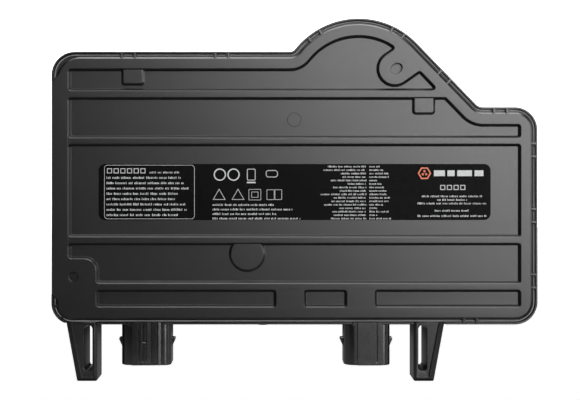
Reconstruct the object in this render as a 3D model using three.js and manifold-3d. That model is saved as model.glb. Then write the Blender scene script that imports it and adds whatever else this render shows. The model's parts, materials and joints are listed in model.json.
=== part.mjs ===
// Micro inverter: a flat moulded case with a hump along its top edge, two slotted feet,
// a DC and an AC plug-in connector and a status light below, and its power electronics inside.
// Millimetres, +Z up. X runs along the case, the labelled front looks towards -Y,
// and Z = 0 is the plane that the two feet stand on.

import * as THREE from "three";
import { mergeVertices } from "three/addons/utils/BufferGeometryUtils.js";
import Module from "manifold-3d";

const wasm = await Module();
wasm.setup();

// ---- Driving dimensions ------------------------------------------------------------------

const HALF_WIDTH = 141.7; // case, from its middle to either side
const CASE_BOTTOM = 33.3; // the feet and connectors hang below this
const CASE_TOP = 192.4; // straight part of the top edge
const SHOULDER_TOP = 160.1; // lower top edge at the right-hand end
const HUMP = { x: 37.4, z: 164.4, r: 47.4 }; // circle that the hump follows
const SLOPE_FOOT = 107.5; // where the straight slope from the hump meets the shoulder line
const HUMP_FILLET = 3.5; // concave, between the top edge and the hump
const SLOPE_FILLET = 5.6; // concave, between the slope and the shoulder
const CORNER = { topLeft: 13.8, bottomLeft: 12.3, bottomRight: 13.2, topRight: 13.2 };

const CASE_BACK = 15; // Y of the back face
const COVER_FACE = -15; // Y of the cover's front face
const RIM_FRONT = -13.6; // Y of the housing's front rim
const LEDGE = -11; // Y of the ledge that the cover rests on
const CASE_FLOOR = 12.4; // Y of the inside of the back wall
const RIM_WIDTH = 1.1; // outer rim, seen beside the groove
const COVER_INSET = 3.05; // from the outside of the case to the cover's edge
const WALL = 4.2; // side walls of the housing
const GAP = 0.3; // clearance between pieces that meet
const EDGE_CHAMFER = 0.8; // round the outside of the housing
const COVER_CHAMFER = 1.2; // round the face of the cover

const POCKET_DEPTH = 2.2; // recessed panels of the cover
const POCKET_DRAFT = 0.9; // how far a panel's wall leans over that depth
const POCKET_CORNER = 1.4;
const POCKET_SIDE = 132.0; // X of the panels' ends, left and right
const POCKET_INSET = 9.8; // from the outside of the case to the panels that follow it
const LAND_DEPTH = 0.9; // from the cover's face back to the low lands in its panels

const FLUSH_LOW = 51; // between these heights the cover runs out to the left side
const FLUSH_HIGH = 172.5;

const FOOT = { inner: -115.25, outerTop: -133.45, outerBottom: -127.05, front: -12, back: 10 };
const FOOT_MIRROR = -22.8; // X of the plane half way between the two feet
const FOOT_BORDER = { side: 1.4, slope: 2.6, depth: 1.2 }; // round the foot's sunken front web
const SLOT = { x: -120.7, low: 5.8, high: 32.6, width: 5.0 };

const CONNECTOR = { bottom: 9.4, front: -14.2, back: 8, wall: 2.2, corner: 4 };
const DC = { x: -86.55, halfWidth: 14.6 };
const AC = { x: 42.4, halfWidth: 13.5 };
const NECK = { y: -2, halfWidth: 8, halfDepth: 5.4, corner: 2.7, top: 39.5 };
const FRONT_PAD_TOP = 34.7; // a connector's front pad reaches this far up into the rim
const BARB = { top: 24.9, bottom: 19.4, tip: 0.8, reach: 2.0, halfDepth: 2.5, root: 0.5 };
const FRONT_BAR = { proud: 0.4, root: 1, foot: 1 }; // upright bars on a connector's front
const SOCKET_FLOOR = 29; // top of the hollow inside each connector
const INSERT_FACE = 19; // the contacts' insulator ends here, and the plug goes in below it

const LENS = { x: -18.4, y: 3, radius: 6, tip: 31.1, stem: 4, edge: 0.4, top: 38.1 };
const LABEL = { left: -114.2, right: 114.4, low: 94.2, high: 126.9, thick: 0.25, corner: 2.3 };
const LABEL_GAP = 0.1; // adhesive between the label and the panel that it is stuck to

const BOARD = { front: 6, back: 7.6, inset: 6 };
const SAG = 0.06; // how far a chord may stand off its arc

const QUARTER = Math.PI / 2;
const DEGREE = Math.PI / 180;

// ---- Materials ---------------------------------------------------------------------------

const material = (color, roughness, metalness) =>
  new THREE.MeshStandardMaterial({ color, roughness, metalness });

const FINISH = {
  casing: material(0x2b2b2d, 0.5, 0),
  connector: material(0x1c1c1e, 0.42, 0),
  seal: material(0x3a3a3c, 0.8, 0),
  label: material(0x0c0c0d, 0.35, 0),
  lens: material(0xd9dde0, 0.12, 0),
  insulator: material(0x28282b, 0.6, 0),
  contact: material(0xc9a85a, 0.3, 1),
  board: material(0x1f5a36, 0.5, 0),
  aluminium: material(0xb9bcc0, 0.4, 1),
  pad: material(0x8fa3b5, 0.85, 0),
  ferrite: material(0x3b3b3d, 0.75, 0),
  copper: material(0xb5673a, 0.35, 1),
  can: material(0x2a3d6b, 0.4, 0),
  film: material(0xa8862f, 0.5, 0),
  chip: material(0x18181a, 0.55, 0),
  steel: material(0x9a9da1, 0.35, 1),
  ceramic: material(0x2f5f8f, 0.5, 0),
};

// ---- Outlines, as points in the X-Z plane -------------------------------------------------

/** Points along an arc, near enough together for its chords to stay within SAG of it. */
function arc(x, z, r, from, to) {
  const step = 2 * Math.acos(1 - SAG / Math.max(r, 4 * SAG));
  const count = Math.max(2, Math.ceil(Math.abs(to - from) / step));
  const points = [];
  for (let i = 0; i <= count; i++) {
    const angle = from + ((to - from) * i) / count;
    points.push([x + r * Math.cos(angle), z + r * Math.sin(angle)]);
  }
  return points;
}

/** A closed outline from corners [x, z, radius]; a corner with no radius stays a point. */
function rounded(corners) {
  const count = corners.length;
  return corners.flatMap(([x, z, r], i) => {
    if (!r) return [[x, z]];
    const before = corners[(i + count - 1) % count];
    const after = corners[(i + 1) % count];
    const u = new THREE.Vector2(before[0] - x, before[1] - z).normalize();
    const v = new THREE.Vector2(after[0] - x, after[1] - z).normalize();
    const half = Math.acos(u.dot(v)) / 2;
    const middle = u.clone().add(v).normalize().multiplyScalar(r / Math.sin(half));
    const centre = new THREE.Vector2(x, z).add(middle);
    const tangent = r / Math.tan(half);
    const start = Math.atan2(z + u.y * tangent - centre.y, x + u.x * tangent - centre.x);
    const turn = (Math.PI - 2 * half) * Math.sign(u.y * v.x - u.x * v.y);
    return arc(centre.x, centre.y, r, start, start + turn);
  });
}

const rectangle = (left, right, low, high, r) =>
  rounded([
    [left, low, r],
    [right, low, r],
    [right, high, r],
    [left, high, r],
  ]);

const circle = (x, z, r) => arc(x, z, r, 0, 2 * Math.PI).slice(1);

const mirrored = (points) => points.map(([x, z]) => [2 * FOOT_MIRROR - x, z]).reverse();

/** Direction, from the hump's centre, of the point where its slope starts. */
const SLOPE_ANGLE = (() => {
  const toFoot = Math.hypot(SLOPE_FOOT - HUMP.x, SHOULDER_TOP - HUMP.z);
  const bearing = Math.atan2(SHOULDER_TOP - HUMP.z, SLOPE_FOOT - HUMP.x);
  return bearing + Math.acos(HUMP.r / toFoot);
})();

/** Centres of the two concave fillets, which every parallel outline shares. */
const HUMP_FILLET_CENTRE = {
  x: HUMP.x - Math.sqrt((HUMP.r + HUMP_FILLET) ** 2 - (CASE_TOP + HUMP_FILLET - HUMP.z) ** 2),
  z: CASE_TOP + HUMP_FILLET,
};
const HUMP_FILLET_ANGLE = Math.atan2(
  HUMP.z - HUMP_FILLET_CENTRE.z,
  HUMP.x - HUMP_FILLET_CENTRE.x,
);
const SLOPE_FILLET_CENTRE = {
  x:
    HUMP.x +
    (HUMP.r + SLOPE_FILLET - Math.sin(SLOPE_ANGLE) * (SHOULDER_TOP + SLOPE_FILLET - HUMP.z)) /
      Math.cos(SLOPE_ANGLE),
  z: SHOULDER_TOP + SLOPE_FILLET,
};

/** X at height z on the line that runs parallel to the slope, an inset inside it. */
const slopeX = (inset, z) =>
  HUMP.x + (HUMP.r - inset - Math.sin(SLOPE_ANGLE) * (z - HUMP.z)) / Math.cos(SLOPE_ANGLE);

/** The hump's arc with its left-hand fillet, an inset inside the case, from an angle leftwards. */
function humpArc(inset, from) {
  const { x, z } = HUMP_FILLET_CENTRE;
  return [
    ...arc(HUMP.x, HUMP.z, HUMP.r - inset, from, HUMP_FILLET_ANGLE + Math.PI),
    ...arc(x, z, HUMP_FILLET + inset, HUMP_FILLET_ANGLE, -QUARTER).slice(1),
  ];
}

/** The outline of the case moved inwards by an inset, with extra points on its left side. */
function caseOutline(inset, leftSide = []) {
  const corner = (side, z, r, from) =>
    arc(side * (HALF_WIDTH - r), z, r - inset, from, from + QUARTER);
  const { topLeft, bottomLeft, bottomRight, topRight } = CORNER;
  const slope = SLOPE_FILLET_CENTRE;
  return [
    ...corner(-1, CASE_BOTTOM + bottomLeft, bottomLeft, Math.PI),
    ...corner(1, CASE_BOTTOM + bottomRight, bottomRight, -QUARTER),
    ...corner(1, SHOULDER_TOP - topRight, topRight, 0),
    ...arc(slope.x, slope.z, SLOPE_FILLET + inset, -QUARTER, SLOPE_ANGLE - Math.PI),
    ...humpArc(inset, SLOPE_ANGLE),
    ...corner(-1, CASE_TOP - topLeft, topLeft, QUARTER),
    ...leftSide,
  ];
}

// ---- Solids ------------------------------------------------------------------------------

const shape = (points) => new THREE.Shape(points.map(([x, z]) => new THREE.Vector2(x, z)));

/** An X-Z outline made solid between two Y planes, its front and back edges chamfered. */
function slab(points, front, back, chamfer = 0) {
  const geometry = new THREE.ExtrudeGeometry(shape(points), {
    depth: back - front - 2 * chamfer,
    bevelEnabled: chamfer > 0,
    bevelThickness: chamfer,
    bevelSize: chamfer,
    bevelOffset: -chamfer,
    bevelSegments: 1,
  });
  return geometry.rotateX(QUARTER).translate(0, back - chamfer, 0);
}

/** A tool that sinks an outline into the face at Y = face, to a smaller outline at floor. */
function pocketTool(points, face, floor, draft) {
  const depth = Math.abs(floor - face);
  const geometry = new THREE.ExtrudeGeometry(shape(points), {
    depth: 1,
    bevelEnabled: true,
    bevelThickness: depth,
    bevelSize: draft,
    bevelOffset: -draft,
    bevelSegments: 1,
  });
  const towardsBack = floor > face;
  geometry.rotateX(QUARTER);
  return geometry.translate(0, towardsBack ? floor - depth : floor + depth + 1, 0);
}

/** An X-Y outline made solid between two heights. */
function column(points, low, high) {
  const geometry = new THREE.ExtrudeGeometry(shape(points), {
    depth: high - low,
    bevelEnabled: false,
  });
  return geometry.translate(0, 0, low);
}

const block = (left, right, front, back, low, high) =>
  new THREE.BoxGeometry(right - left, back - front, high - low).translate(
    (left + right) / 2,
    (front + back) / 2,
    (low + high) / 2,
  );

/** A turned piece from a profile of [radius, height] that runs up its outside, on the Z axis. */
const turned = (profile, sides = 24) =>
  new THREE.LatheGeometry(
    profile.map(([r, h]) => new THREE.Vector2(r, h)),
    sides,
  ).rotateX(QUARTER);

/** A turned piece on an axis along Y, through x and z, with its profile's heights as Y. */
const turnedAlongY = (profile, x, z, sides = 24) =>
  turned(profile, sides).rotateX(-QUARTER).translate(x, 0, z);

function toSolid(geometry) {
  const bare = geometry.clone();
  bare.deleteAttribute("normal");
  bare.deleteAttribute("uv");
  const merged = mergeVertices(bare, 1e-4);
  const mesh = new wasm.Mesh({
    numProp: 3,
    vertProperties: merged.attributes.position.array,
    triVerts: Uint32Array.from(merged.index.array),
  });
  return new wasm.Manifold(mesh);
}

function toGeometry(solid) {
  const { vertProperties, triVerts } = solid.getMesh();
  const geometry = new THREE.BufferGeometry();
  geometry.setAttribute("position", new THREE.BufferAttribute(vertProperties, 3));
  geometry.setIndex(new THREE.BufferAttribute(triVerts, 1));
  geometry.computeVertexNormals();
  return geometry;
}

const join = (...geometries) => toGeometry(geometries.map(toSolid).reduce((a, b) => a.add(b)));

const cut = (geometry, ...tools) =>
  toGeometry(tools.map(toSolid).reduce((a, b) => a.subtract(b), toSolid(geometry)));

// ---- The case ----------------------------------------------------------------------------

const COVER_BACK = LEDGE - GAP;
const PANEL_FLOOR = COVER_FACE + POCKET_DEPTH;
const RIB = { width: 1.2, pitch: 7.6, front: -13.6, back: -13.0, root: 1.4 };

/** Where each pair of ribs crosses the groove: the middle of the pair, and the way out. */
function ribPairs() {
  const onHump = (degrees) => ({ x: HUMP.x, z: HUMP.z, reach: HUMP.r, way: degrees * DEGREE });
  const onTop = (x) => ({ x, z: CASE_TOP, way: QUARTER });
  const onRight = (z) => ({ x: HALF_WIDTH, z, way: 0 });
  const slopeZ = 179.2;
  return [
    onTop(-96.9),
    onTop(-42.4),
    onHump(124.5),
    onHump(59.9),
    { x: slopeX(0, slopeZ), z: slopeZ, way: SLOPE_ANGLE },
    { x: 120, z: SHOULDER_TOP, way: QUARTER },
    onRight(135),
    onRight(96.8),
    onRight(58.6),
    { x: 102.4, z: CASE_BOTTOM, way: -QUARTER },
    {
      x: CORNER.bottomLeft - HALF_WIDTH,
      z: CASE_BOTTOM + CORNER.bottomLeft,
      reach: CORNER.bottomLeft,
      way: 211 * DEGREE,
    },
  ];
}

/** One rib of a pair, half a pitch to either side, from inside the cover to short of the rim. */
function rib({ x, z, reach = 0, way }, side) {
  const inner = COVER_INSET + RIB.root;
  const outer = RIM_WIDTH + GAP;
  const bar = block(-RIB.width / 2, RIB.width / 2, RIB.front, RIB.back, -inner, -outer);
  if (reach) {
    const swing = (side * RIB.pitch) / 2 / (reach - COVER_INSET);
    return bar.translate(0, 0, reach).rotateY(QUARTER - way - swing).translate(x, 0, z);
  }
  return bar.translate((side * RIB.pitch) / 2, 0, 0).rotateY(QUARTER - way).translate(x, 0, z);
}

/** The hook-shaped raised land in the upper panel, with the oval locating hole in it. */
const HOOK = { x: 58.4, z: 182.4, r: 9.0, lean: 35 * DEGREE };
const OVAL_HOLE = { x: 59.3, z: 182.4, r: 2.9, stretch: 1.25, depth: 3 };
const ROUND_HOLE = { x: -128.6, z: 61.2, r: 2.9, depth: 2 };
const HOOK_CORNER = 1; // where the hook's two edges meet the rest of the panel's outline
const TIP_GAP = 0.13; // radians of the hump's arc left out beside the hook's upper corner

/** The upper recessed panel: it follows the case's top edge, and bends round the hook. */
function upperPanel() {
  const low = CASE_TOP - 23.1;
  const edge = HUMP.r - POCKET_INSET;
  const side = { x: Math.cos(HOOK.lean), z: Math.sin(HOOK.lean) };
  const above = HOOK.lean + QUARTER;
  const below = HOOK.lean - QUARTER;
  // The hook's upper edge leaves its round end along the lean, and meets the hump's arc.
  const start = {
    x: HOOK.x + HOOK.r * Math.cos(above) - HUMP.x,
    z: HOOK.z + HOOK.r * Math.sin(above) - HUMP.z,
  };
  const along = start.x * side.x + start.z * side.z;
  const run = Math.sqrt(along ** 2 - start.x ** 2 - start.z ** 2 + edge ** 2) - along;
  const tip = { x: HUMP.x + start.x + run * side.x, z: HUMP.z + start.z + run * side.z };
  const tipAngle = Math.atan2(tip.z - HUMP.z, tip.x - HUMP.x);
  // Its lower edge meets the line parallel to the slope.
  const foot = {
    x: HOOK.x + HOOK.r * Math.cos(below),
    z: HOOK.z + HOOK.r * Math.sin(below),
  };
  const reach =
    (edge -
      Math.cos(SLOPE_ANGLE) * (foot.x - HUMP.x) -
      Math.sin(SLOPE_ANGLE) * (foot.z - HUMP.z)) /
    (Math.cos(SLOPE_ANGLE) * side.x + Math.sin(SLOPE_ANGLE) * side.z);
  return rounded([
    [-POCKET_SIDE, low, POCKET_CORNER],
    [slopeX(POCKET_INSET, low), low, POCKET_CORNER],
    [foot.x + reach * side.x, foot.z + reach * side.z, HOOK_CORNER],
    ...arc(HOOK.x, HOOK.z, HOOK.r, below, above - 2 * Math.PI),
    [tip.x, tip.z, HOOK_CORNER],
    ...humpArc(POCKET_INSET, tipAngle + TIP_GAP),
    [-POCKET_SIDE, CASE_TOP - POCKET_INSET, POCKET_CORNER],
  ]);
}

/** The second panel, whose right-hand end drops under the slope and the shoulder. */
function secondPanel() {
  const low = SHOULDER_TOP - 18.3;
  const high = SHOULDER_TOP + 5.8;
  const shoulder = SHOULDER_TOP - POCKET_INSET;
  return rounded([
    [-POCKET_SIDE, low, POCKET_CORNER],
    [POCKET_SIDE, low, POCKET_CORNER],
    [POCKET_SIDE, shoulder, POCKET_CORNER],
    [slopeX(POCKET_INSET, shoulder), shoulder, SLOPE_FILLET + POCKET_INSET],
    [slopeX(POCKET_INSET, high), high, POCKET_CORNER],
    [-POCKET_SIDE, high, POCKET_CORNER],
  ]);
}

const STEP_X = 25.9 - HALF_WIDTH; // left-hand end of everything below the step

/** The fourth panel, stepped round the small hole at its left-hand end. */
function steppedPanel() {
  const low = CASE_BOTTOM + 23.8;
  const high = CASE_BOTTOM + 47.8;
  const step = { x: STEP_X, z: CASE_BOTTOM + 38.2, r: 6.7 };
  return rounded([
    [-POCKET_SIDE, step.z, POCKET_CORNER],
    [step.x, step.z, step.r],
    [step.x, low, POCKET_CORNER],
    [POCKET_SIDE, low, POCKET_CORNER],
    [POCKET_SIDE, high, POCKET_CORNER],
    [-POCKET_SIDE, high, POCKET_CORNER],
  ]);
}

/** The three short panels along the bottom. */
function lowerPanels() {
  const low = CASE_BOTTOM + 10.1;
  const high = CASE_BOTTOM + 20.6;
  const spans = [
    [STEP_X, -10.4],
    [5.3, 30.8],
    [46.4, POCKET_SIDE],
  ];
  return spans.map(([left, right]) => rectangle(left, right, low, high, POCKET_CORNER));
}

/** The middle panel, which carries the label. */
const labelPanel = () =>
  rectangle(
    -POCKET_SIDE,
    POCKET_SIDE,
    CASE_BOTTOM + 50.9,
    CASE_BOTTOM + 105.5,
    POCKET_CORNER,
  );

const PANELS = [upperPanel(), secondPanel(), labelPanel(), steppedPanel(), ...lowerPanels()];

/** The two pads run this far past their panel's top wall, so that they join it. */
const PAD = { halfWidth: 6, high: 10.2, overlap: 1 };

/** Low lands that stand in the panels: two pads and a disc, each against a panel's top wall. */
function coverLands() {
  const land = (points) => slab(points, COVER_FACE + LAND_DEPTH, COVER_BACK - 1);
  const pad = (x, top) =>
    rectangle(x - PAD.halfWidth, x + PAD.halfWidth, top - PAD.high, top, POCKET_CORNER);
  return [
    land(pad(-94.1, CASE_TOP - POCKET_INSET + PAD.overlap)),
    land(pad(75.35, SHOULDER_TOP + 5.8 + PAD.overlap)),
    land(circle(-27.5, 74.6, 9.6)),
  ];
}

function frontCover() {
  const step = COVER_INSET;
  const leftSide = [
    [-HALF_WIDTH + step, FLUSH_HIGH + step],
    [-HALF_WIDTH, FLUSH_HIGH],
    [-HALF_WIDTH, FLUSH_LOW],
    [-HALF_WIDTH + step, FLUSH_LOW - step],
  ];
  const outline = caseOutline(COVER_INSET, leftSide);
  const plate = cut(
    slab(outline, COVER_FACE, COVER_BACK + COVER_CHAMFER, COVER_CHAMFER),
    block(-HALF_WIDTH - 1, HALF_WIDTH + 1, COVER_BACK, CASE_BACK, 0, HUMP.z + HUMP.r),
    ...PANELS.map((panel) => pocketTool(panel, COVER_FACE, PANEL_FLOOR, POCKET_DRAFT)),
  );
  const ribs = ribPairs().flatMap((pair) => [rib(pair, -1), rib(pair, 1)]);
  const blindHole = ({ r, depth }) => slab(circle(0, 0, r), COVER_FACE - 1, COVER_FACE + depth);
  const ovalHole = blindHole(OVAL_HOLE)
    .scale(OVAL_HOLE.stretch, 1, 1)
    .rotateY(-HOOK.lean)
    .translate(OVAL_HOLE.x, 0, OVAL_HOLE.z);
  const roundHole = blindHole(ROUND_HOLE).translate(ROUND_HOLE.x, 0, ROUND_HOLE.z);
  return cut(join(plate, ...coverLands(), ...ribs), ovalHole, roundHole);
}

/** What the cover's flush left-hand edge takes out of the rim and the seal. */
function flushTool() {
  const clear = GAP * Math.SQRT2;
  const side = (out) => [-HALF_WIDTH - out, FLUSH_LOW - clear + out, FLUSH_HIGH + clear - out];
  const [outer, outerLow, outerHigh] = side(1.3);
  const [inner, innerLow, innerHigh] = side(-WALL - 1.5);
  const points = [
    [outer, outerLow],
    [inner, innerLow],
    [inner, innerHigh],
    [outer, outerHigh],
  ];
  return slab(points, RIM_FRONT - 1, LEDGE);
}

const BOSSES = [
  [-124, 54],
  [124, 54],
  [-124, 170],
  [118, 138],
];
const INSERTS = [
  [-98, 154],
  [-98, 68],
  [108, 96],
];
const BOSS = { r: 4, top: BOARD.back + GAP, hole: 1.5, holeFloor: 11.5 };
const INSERT = { r: 3, bossR: 6, padR: 9, bossTop: 8, holeTop: 9, bore: 2 };
const BACK_RECESS = { depth: 1, draft: 0.5, corner: 4, middle: -10, halfGap: 3 };

/** Shallow panels in the back wall, with round pads left standing for the bracket. */
function backRecess() {
  const { depth, draft, corner, middle, halfGap } = BACK_RECESS;
  const left = [-POCKET_SIDE, middle - halfGap];
  const right = [middle + halfGap, POCKET_SIDE];
  const rows = [
    [44, 82],
    [88, 132],
  ];
  const panels = rows.flatMap(([low, high]) =>
    [left, right].map(([a, b]) => rectangle(a, b, low, high, corner)),
  );
  panels.push(rectangle(...left, 138, CASE_TOP - POCKET_INSET, corner));
  const floor = CASE_BACK - depth;
  const tools = panels.map((panel) => pocketTool(panel, CASE_BACK, floor, draft));
  const pads = INSERTS.map(([x, z]) => slab(circle(x, z, INSERT.padR), 0, CASE_BACK + 5));
  return cut(join(...tools), ...pads);
}

/** The hole that a connector's neck passes through, and the notch for its front pad. */
function connectorOpenings({ x, halfWidth }) {
  const side = NECK.halfWidth + GAP;
  const deep = NECK.halfDepth + GAP;
  const pad = halfWidth - CONNECTOR.corner + GAP;
  return [
    column(
      rectangle(x - side, x + side, NECK.y - deep, NECK.y + deep, NECK.corner + GAP),
      CASE_BOTTOM - 1,
      CASE_BOTTOM + WALL + 1,
    ),
    block(x - pad, x + pad, RIM_FRONT - 1, LEDGE, CASE_BOTTOM - 1, FRONT_PAD_TOP + GAP),
  ];
}

function rearHousing() {
  const tray = cut(
    slab(caseOutline(0), RIM_FRONT, CASE_BACK, EDGE_CHAMFER),
    slab(caseOutline(RIM_WIDTH), RIM_FRONT - 1, LEDGE),
    slab(caseOutline(WALL), RIM_FRONT - 1, CASE_FLOOR),
  );
  const bosses = BOSSES.map(([x, z]) => slab(circle(x, z, BOSS.r), BOSS.top, CASE_FLOOR + 1));
  const seats = INSERTS.map(([x, z]) =>
    slab(circle(x, z, INSERT.bossR), INSERT.bossTop, CASE_FLOOR + 1),
  );
  const screwHoles = BOSSES.map(([x, z]) => slab(circle(x, z, BOSS.hole), 0, BOSS.holeFloor));
  const insertHoles = INSERTS.map(([x, z]) =>
    slab(circle(x, z, INSERT.r + GAP), INSERT.holeTop, CASE_BACK + 1),
  );
  const lensHole = turned([
    [0, CASE_BOTTOM - 1],
    [LENS.stem + GAP, CASE_BOTTOM - 1],
    [LENS.stem + GAP, CASE_BOTTOM + WALL + 1],
    [0, CASE_BOTTOM + WALL + 1],
  ]).translate(LENS.x, LENS.y, 0);
  const rootHoles = [footRoot(GAP), mirrored(footRoot(GAP))].map((points) =>
    slab(points, ROOT.front - GAP, ROOT.back + GAP),
  );
  return cut(
    join(tray, ...bosses, ...seats),
    flushTool(),
    backRecess(),
    ...screwHoles,
    ...insertHoles,
    lensHole,
    ...rootHoles,
    ...connectorOpenings(DC),
    ...connectorOpenings(AC),
  );
}

/** The thin bead that stands in the groove between the rim and the cover. */
function perimeterSeal() {
  const outer = 1.7;
  const width = 0.55;
  const back = LEDGE - GAP;
  const front = RIB.back + GAP;
  return cut(
    slab(caseOutline(outer), front, back),
    slab(caseOutline(outer + width), front - 1, back + 1),
    flushTool(),
  );
}

// ---- Feet --------------------------------------------------------------------------------

const ROOT = { front: -9, back: 9, top: 35.5 };

/** The short root by which a foot is let into the bottom wall, grown by a clearance. */
const footRoot = (grow) =>
  rectangle(
    FOOT.outerBottom - 4 - grow,
    FOOT.inner - 2 + grow,
    CASE_BOTTOM - 3,
    ROOT.top + grow,
    1,
  );

/** The left-hand foot: a tapered leg with a recessed web on its front and a long slot. */
function footPieces() {
  const top = CASE_BOTTOM - GAP;
  const lean = (FOOT.outerBottom - FOOT.outerTop) / top;
  const leg = rounded([
    [FOOT.outerTop, top],
    [FOOT.outerBottom, 0, 2.3],
    [FOOT.inner, 0, 1.5],
    [FOOT.inner, top],
  ]);
  const { side, slope } = FOOT_BORDER;
  const web = rounded([
    [FOOT.outerTop + slope - lean, top + 1],
    [FOOT.outerBottom + slope - lean * slope, slope, 0.8],
    [FOOT.inner - side, slope, 0.8],
    [FOOT.inner - side, top + 1],
  ]);
  const { x, low, high, width } = SLOT;
  const slot = rectangle(x - width / 2, x + width / 2, low, high, width / 2 - 0.01);
  return { leg, web, slot };
}

function foot(place) {
  const { leg, web, slot } = footPieces();
  return cut(
    join(
      cut(
        slab(place(leg), FOOT.front, FOOT.back),
        slab(place(web), FOOT.front - 1, FOOT.front + FOOT_BORDER.depth),
      ),
      slab(place(footRoot(0)), ROOT.front, ROOT.back),
    ),
    slab(place(slot), FOOT.front - 1, FOOT.back + 1),
  );
}

// ---- Connectors --------------------------------------------------------------------------

/** The outside of a connector's shell in the X-Y plane, moved inwards by an inset. */
const shellOutline = ({ x, halfWidth }, inset) =>
  rectangle(
    x - halfWidth + inset,
    x + halfWidth - inset,
    CONNECTOR.front + inset,
    CONNECTOR.back - inset,
    CONNECTOR.corner - inset / 2,
  );

/** A latch barb: flat on top, sloping back to the shell below, on either side. */
function barb({ x, halfWidth }, side) {
  const { top, bottom, tip, reach, halfDepth, root } = BARB;
  const middle = (CONNECTOR.front + CONNECTOR.back) / 2;
  const points = [
    [x + side * (halfWidth - root), bottom],
    [x + side * halfWidth, bottom],
    [x + side * (halfWidth + reach), top - tip],
    [x + side * (halfWidth + reach), top],
    [x + side * (halfWidth - root), top],
  ];
  return slab(points, middle - halfDepth, middle + halfDepth);
}

/** A connector's shell: a hollow nose with a neck, a front pad, upright bars and two barbs. */
function connectorShell(which, bars, contacts) {
  const top = CASE_BOTTOM - GAP;
  const { x, halfWidth } = which;
  const pad = halfWidth - CONNECTOR.corner;
  const { bottom, front, wall } = CONNECTOR;
  const neck = rectangle(
    x - NECK.halfWidth,
    x + NECK.halfWidth,
    NECK.y - NECK.halfDepth,
    NECK.y + NECK.halfDepth,
    NECK.corner,
  );
  const { proud, root, foot } = FRONT_BAR;
  const bar = ([from, to]) =>
    block(x + from, x + to, front - proud, front + root, bottom + foot, top);
  return cut(
    join(
      column(shellOutline(which, 0), bottom, top),
      column(neck, top - 1, NECK.top),
      block(x - pad, x + pad, front, LEDGE - GAP, top - 1, FRONT_PAD_TOP),
      barb(which, -1),
      barb(which, 1),
      ...bars.map(bar),
    ),
    column(shellOutline(which, wall), bottom - 1, SOCKET_FLOOR),
    ...contacts.map((at) => contactHole(at, CONTACT.tail + GAP, SOCKET_FLOOR - 1, NECK.top + 1)),
  );
}

const CONTACT = { r: 2, bore: 1.2, tail: 0.6, tailTop: 41.5, y: -3.1 };

const contactHole = (x, r, low, high) =>
  column(circle(x, CONTACT.y, r), low, high);

/** The insulating block that carries a connector's contacts. */
const connectorInsert = (which, contacts) =>
  cut(
    column(shellOutline(which, CONNECTOR.wall + GAP), INSERT_FACE, SOCKET_FLOOR - GAP),
    ...contacts.map((at) => contactHole(at, CONTACT.r + GAP, INSERT_FACE - 1, SOCKET_FLOOR)),
  );

/** A socket contact: a sleeve with a blind bore, and a solder tail up into the case. */
const contact = (x) =>
  turned(
    [
      [0, INSERT_FACE + 7],
      [CONTACT.bore, INSERT_FACE + 7],
      [CONTACT.bore, INSERT_FACE + GAP],
      [CONTACT.r, INSERT_FACE + GAP],
      [CONTACT.r, SOCKET_FLOOR - 1],
      [CONTACT.tail, SOCKET_FLOOR - 1],
      [CONTACT.tail, CONTACT.tailTop],
      [0, CONTACT.tailTop],
    ],
    16,
  ).translate(x, CONTACT.y, 0);

/** The gasket round a connector's neck, on the inside of the bottom wall. */
function neckGasket({ x }) {
  const low = CASE_BOTTOM + WALL + GAP;
  const high = low + 1.5;
  const ring = (grow, r) =>
    rectangle(
      x - NECK.halfWidth - grow,
      x + NECK.halfWidth + grow,
      NECK.y - NECK.halfDepth - grow,
      NECK.y + NECK.halfDepth + grow,
      r,
    );
  return cut(column(ring(2, 4.5), low, high), column(ring(GAP, 3), low - 1, high + 1));
}

// ---- Status light and label --------------------------------------------------------------

function statusLens() {
  const top = CASE_BOTTOM - GAP;
  const brim = top - LENS.edge;
  const rise = brim - LENS.tip;
  const r = (LENS.radius ** 2 + rise ** 2) / (2 * rise);
  const dome = arc(0, LENS.tip + r, r, -QUARTER, -QUARTER + Math.asin(LENS.radius / r));
  dome[0][0] = 0;
  return turned([
    ...dome,
    [LENS.radius, top],
    [LENS.stem, top],
    [LENS.stem, LENS.top],
    [0, LENS.top],
  ]).translate(LENS.x, LENS.y, 0);
}

const ratingLabel = () =>
  slab(
    rectangle(LABEL.left, LABEL.right, LABEL.low, LABEL.high, LABEL.corner),
    PANEL_FLOOR - LABEL_GAP - LABEL.thick,
    PANEL_FLOOR - LABEL_GAP,
  );

// ---- Electronics -------------------------------------------------------------------------

const COMPONENT_BASE = BOARD.front - GAP; // components stand on the board's front from here

function circuitBoard() {
  const holes = BOSSES.map(([x, z]) =>
    slab(circle(x, z, BOSS.hole + 0.1), BOARD.front - 1, BOARD.back + 1),
  );
  return cut(slab(caseOutline(BOARD.inset), BOARD.front, BOARD.back), ...holes);
}

function boardScrew([x, z]) {
  const head = { r: 2.8, high: 1.8 };
  const shank = BOSS.hole - GAP;
  const profile = [
    [0, COMPONENT_BASE - head.high],
    [head.r - 0.5, COMPONENT_BASE - head.high],
    [head.r, COMPONENT_BASE - head.high + 0.6],
    [head.r, COMPONENT_BASE],
    [shank, COMPONENT_BASE],
    [shank, BOSS.holeFloor - 0.5],
    [0, BOSS.holeFloor - 0.5],
  ];
  return turnedAlongY(profile, x, z, 16);
}

function bracketInsert([x, z]) {
  const profile = [
    [INSERT.bore, INSERT.holeTop + GAP],
    [INSERT.r, INSERT.holeTop + GAP],
    [INSERT.r, CASE_BACK - 0.1],
    [INSERT.bore, CASE_BACK - 0.1],
    [INSERT.bore, INSERT.holeTop + GAP],
  ];
  return turnedAlongY(profile, x, z, 20);
}

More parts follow.
